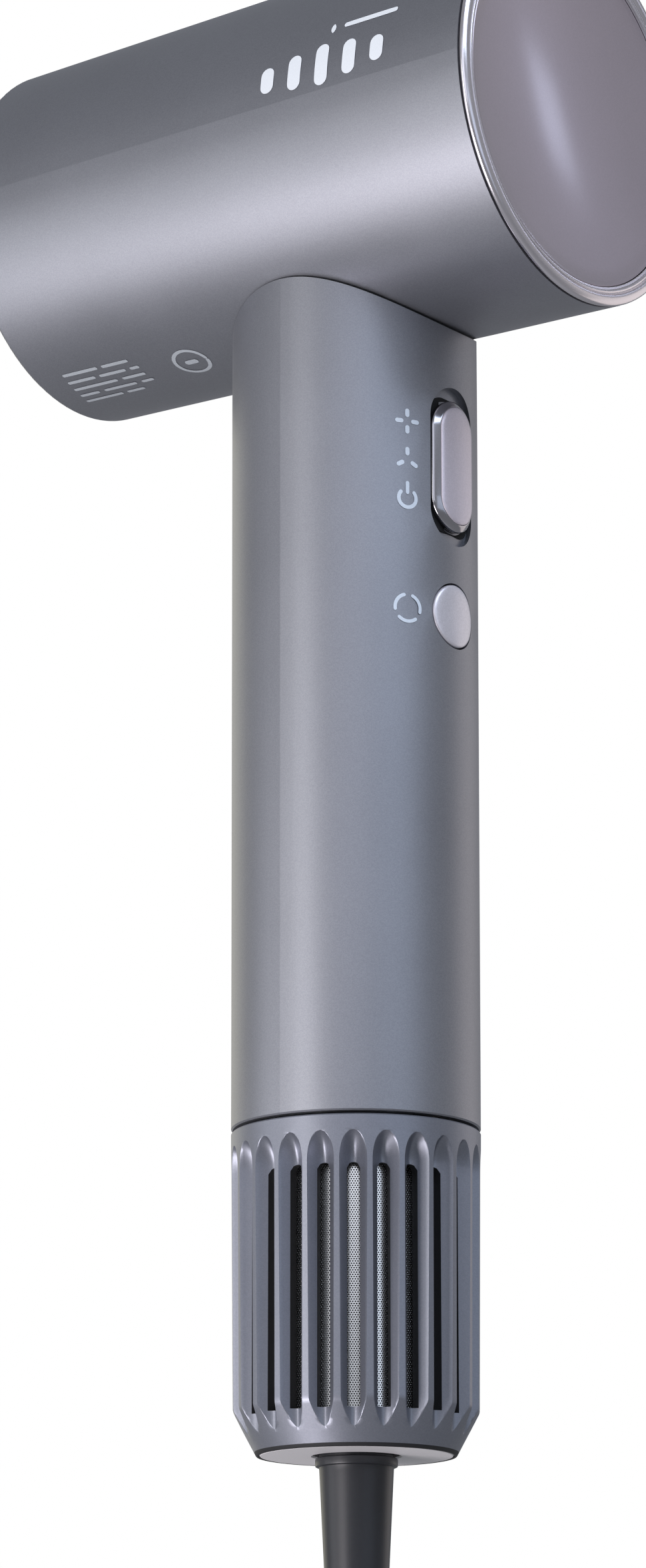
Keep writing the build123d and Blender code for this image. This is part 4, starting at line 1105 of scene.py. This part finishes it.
# ---------------------------------------------------------------- Circuit boards and wiring
# Glass-fibre boards under green solder mask, an extruded aluminium heat sink on the heater's switch,
# steel screws, and wires in silicone sleeves.
board_green, board_shader = new_material("board_green", (0.02, 0.14, 0.06), 0.3)
board_tree = board_green.node_tree
board_tracks = new_node(
    board_tree, "TexVoronoi", {"Vector": own_place(board_tree), "Scale": 420},
    distance="MANHATTAN", feature="F2",
)
board_edges = new_node(
    board_tree, "MapRange", {"Value": board_tracks.outputs["Distance"], "From Min": 0.62, "From Max": 0.66},
)
board_tone = toned(board_tree, board_edges.outputs["Result"], (0.015, 0.10, 0.045), (0.04, 0.22, 0.09))
board_tree.links.new(board_tone, board_shader.inputs["Base Color"])
board_shader.inputs["Coat Weight"].default_value = 0.4
paint_nodes(board_green, "main_board", "switch_board", "motor_board")
heat_sink = finished("heat_sink", (0.62, 0.63, 0.65), 0.35, 1.0, 900, 0.12, 0.2, 0.08)
paint(nodes["heat_triac"], heat_sink)
screw_steel = finished("screw_steel", (0.52, 0.52, 0.54), 0.28, 1.0, 1600, 0.1, 0.3, 0.05)
paint_nodes(screw_steel, "board_screws", "motor_bearings", "rotor_shaft")
wire_sleeve = finished("wire_sleeve", (0.30, 0.03, 0.025), 0.45, 0.0, 1200, 0.15, 0.2, 0.05)
paint(nodes["power_wires"], wire_sleeve)


# ---------------------------------------------------------------- Motor
# A small fast motor stands in two rubber mounts in the handle: turned aluminium housing and impeller,
# a stack of steel laminations, and enamelled copper windings.
motor_aluminium = finished("motor_aluminium", (0.66, 0.67, 0.69), 0.30, 1.0, 1100, 0.12, 0.15, 0.06)
paint_nodes(motor_aluminium, "motor_housing", "bearing_bridge", "impeller")


def banded(name, dark, light, bands, roughness, metallic):
    """A material of fine bands stacked along the handle."""
    material, shader = new_material(name, light, roughness, metallic)
    tree = material.node_tree
    wave = level_bands(tree, bands, 0.4)
    tree.links.new(toned(tree, wave, dark, light), shader.inputs["Base Color"])
    tree.links.new(bumped(tree, wave, 0.5, 0.0002), shader.inputs["Normal"])
    return material


paint(nodes["stator_core"], banded("lamination", (0.12, 0.12, 0.13), (0.38, 0.38, 0.40), 900, 0.4, 1.0))
paint(nodes["stator_windings"], banded("copper", (0.40, 0.13, 0.05), (0.78, 0.32, 0.14), 750, 0.3, 1.0))
mount_rubber = finished("mount_rubber", (0.03, 0.03, 0.032), 0.7, 0.0, 1200, 0.3, 0.3, 0.15)
paint_nodes(mount_rubber, "lower_motor_mount", "upper_motor_mount")


# ---------------------------------------------------------------- Stage
# A pale floor well below the hanging lead, a white surround, and soft lamps: a large key low on the
# outlet side, a cool one high on the rear side, weak fills, and a small one for the cover's glint.
FLOOR_Z = -1.2
LAMP_AIM = Vector((0, 0, 0.03))
deselect_all()
bpy.ops.mesh.primitive_plane_add(size=40, location=(0, 0, FLOOR_Z))
floor = bpy.context.object
floor.name = "floor"
floor_paint = finished("pale_floor", (0.80, 0.80, 0.80), 0.7, 0.0, 300, 0.03, 0.02, 0.0)
paint(floor, floor_paint)

world = bpy.data.worlds.new("studio")
world.use_nodes = True
bpy.context.scene.world = world
sky = world.node_tree
sky_light = sky.nodes["Background"]
sky_light.inputs["Color"].default_value = (0.91, 0.94, 1.0, 1)
sky_light.inputs["Strength"].default_value = 0.31
sky_seen = new_node(sky, "Background", {"Color": (1, 1, 1, 1), "Strength": 1.0})
seen = new_node(sky, "LightPath", {}).outputs["Is Camera Ray"]
sky_mix = new_node(sky, "MixShader", {0: seen, 1: sky_light.outputs[0], 2: sky_seen.outputs[0]})
sky.links.new(sky_mix.outputs[0], sky.nodes["World Output"].inputs["Surface"])


def soft_lamp(name, azimuth_deg, elevation_deg, size, power, color, distance=0.75):
    """A rectangular lamp at an azimuth from +X and an elevation, facing the dryer's middle."""
    azimuth = math.radians(azimuth_deg)
    elevation = math.radians(elevation_deg)
    level = math.cos(elevation)
    toward = Vector((math.cos(azimuth) * level, math.sin(azimuth) * level, math.sin(elevation)))
    data = bpy.data.lights.new(name, "AREA")
    data.shape = "RECTANGLE"
    data.size, data.size_y = size
    data.energy = power
    data.color = color
    lamp = bpy.data.objects.new(name, data)
    lamp.location = LAMP_AIM + toward * distance
    lamp.rotation_euler = toward.to_track_quat("Z", "Y").to_euler()
    lamp.visible_camera = False
    bpy.context.scene.collection.objects.link(lamp)


soft_lamp("key_low", -14, -32, (0.36, 0.36), 3.42, (1.0, 0.95, 0.99))
soft_lamp("key_side", -12, 5, (0.30, 0.36), 0.89, (1.0, 0.99, 0.99))
soft_lamp("key_left", -48, -14, (0.36, 0.60), 0.86, (0.95, 0.97, 1.0))
soft_lamp("far_left", -108, 5, (0.50, 0.60), 0.72, (1.0, 0.95, 0.73))
soft_lamp("front_fill", 30, 16, (0.50, 0.40), 0.63, (0.84, 0.88, 1.0))
soft_lamp("cool_high", 74, 42, (0.60, 0.36), 2.43, (0.71, 0.82, 1.0))
soft_lamp("cool_side", 76, 2, (0.50, 0.36), 0.36, (0.68, 0.80, 1.0))
soft_lamp("rear_wall", 160, 4, (0.50, 0.50), 0.48, (1.0, 0.90, 0.86))
soft_lamp("dish_glint", 145.4, 27.6, (0.04, 0.03), 0.016, (0.72, 0.76, 1.0), 0.80)
bpy.context.scene.view_settings.view_transform = "Standard"
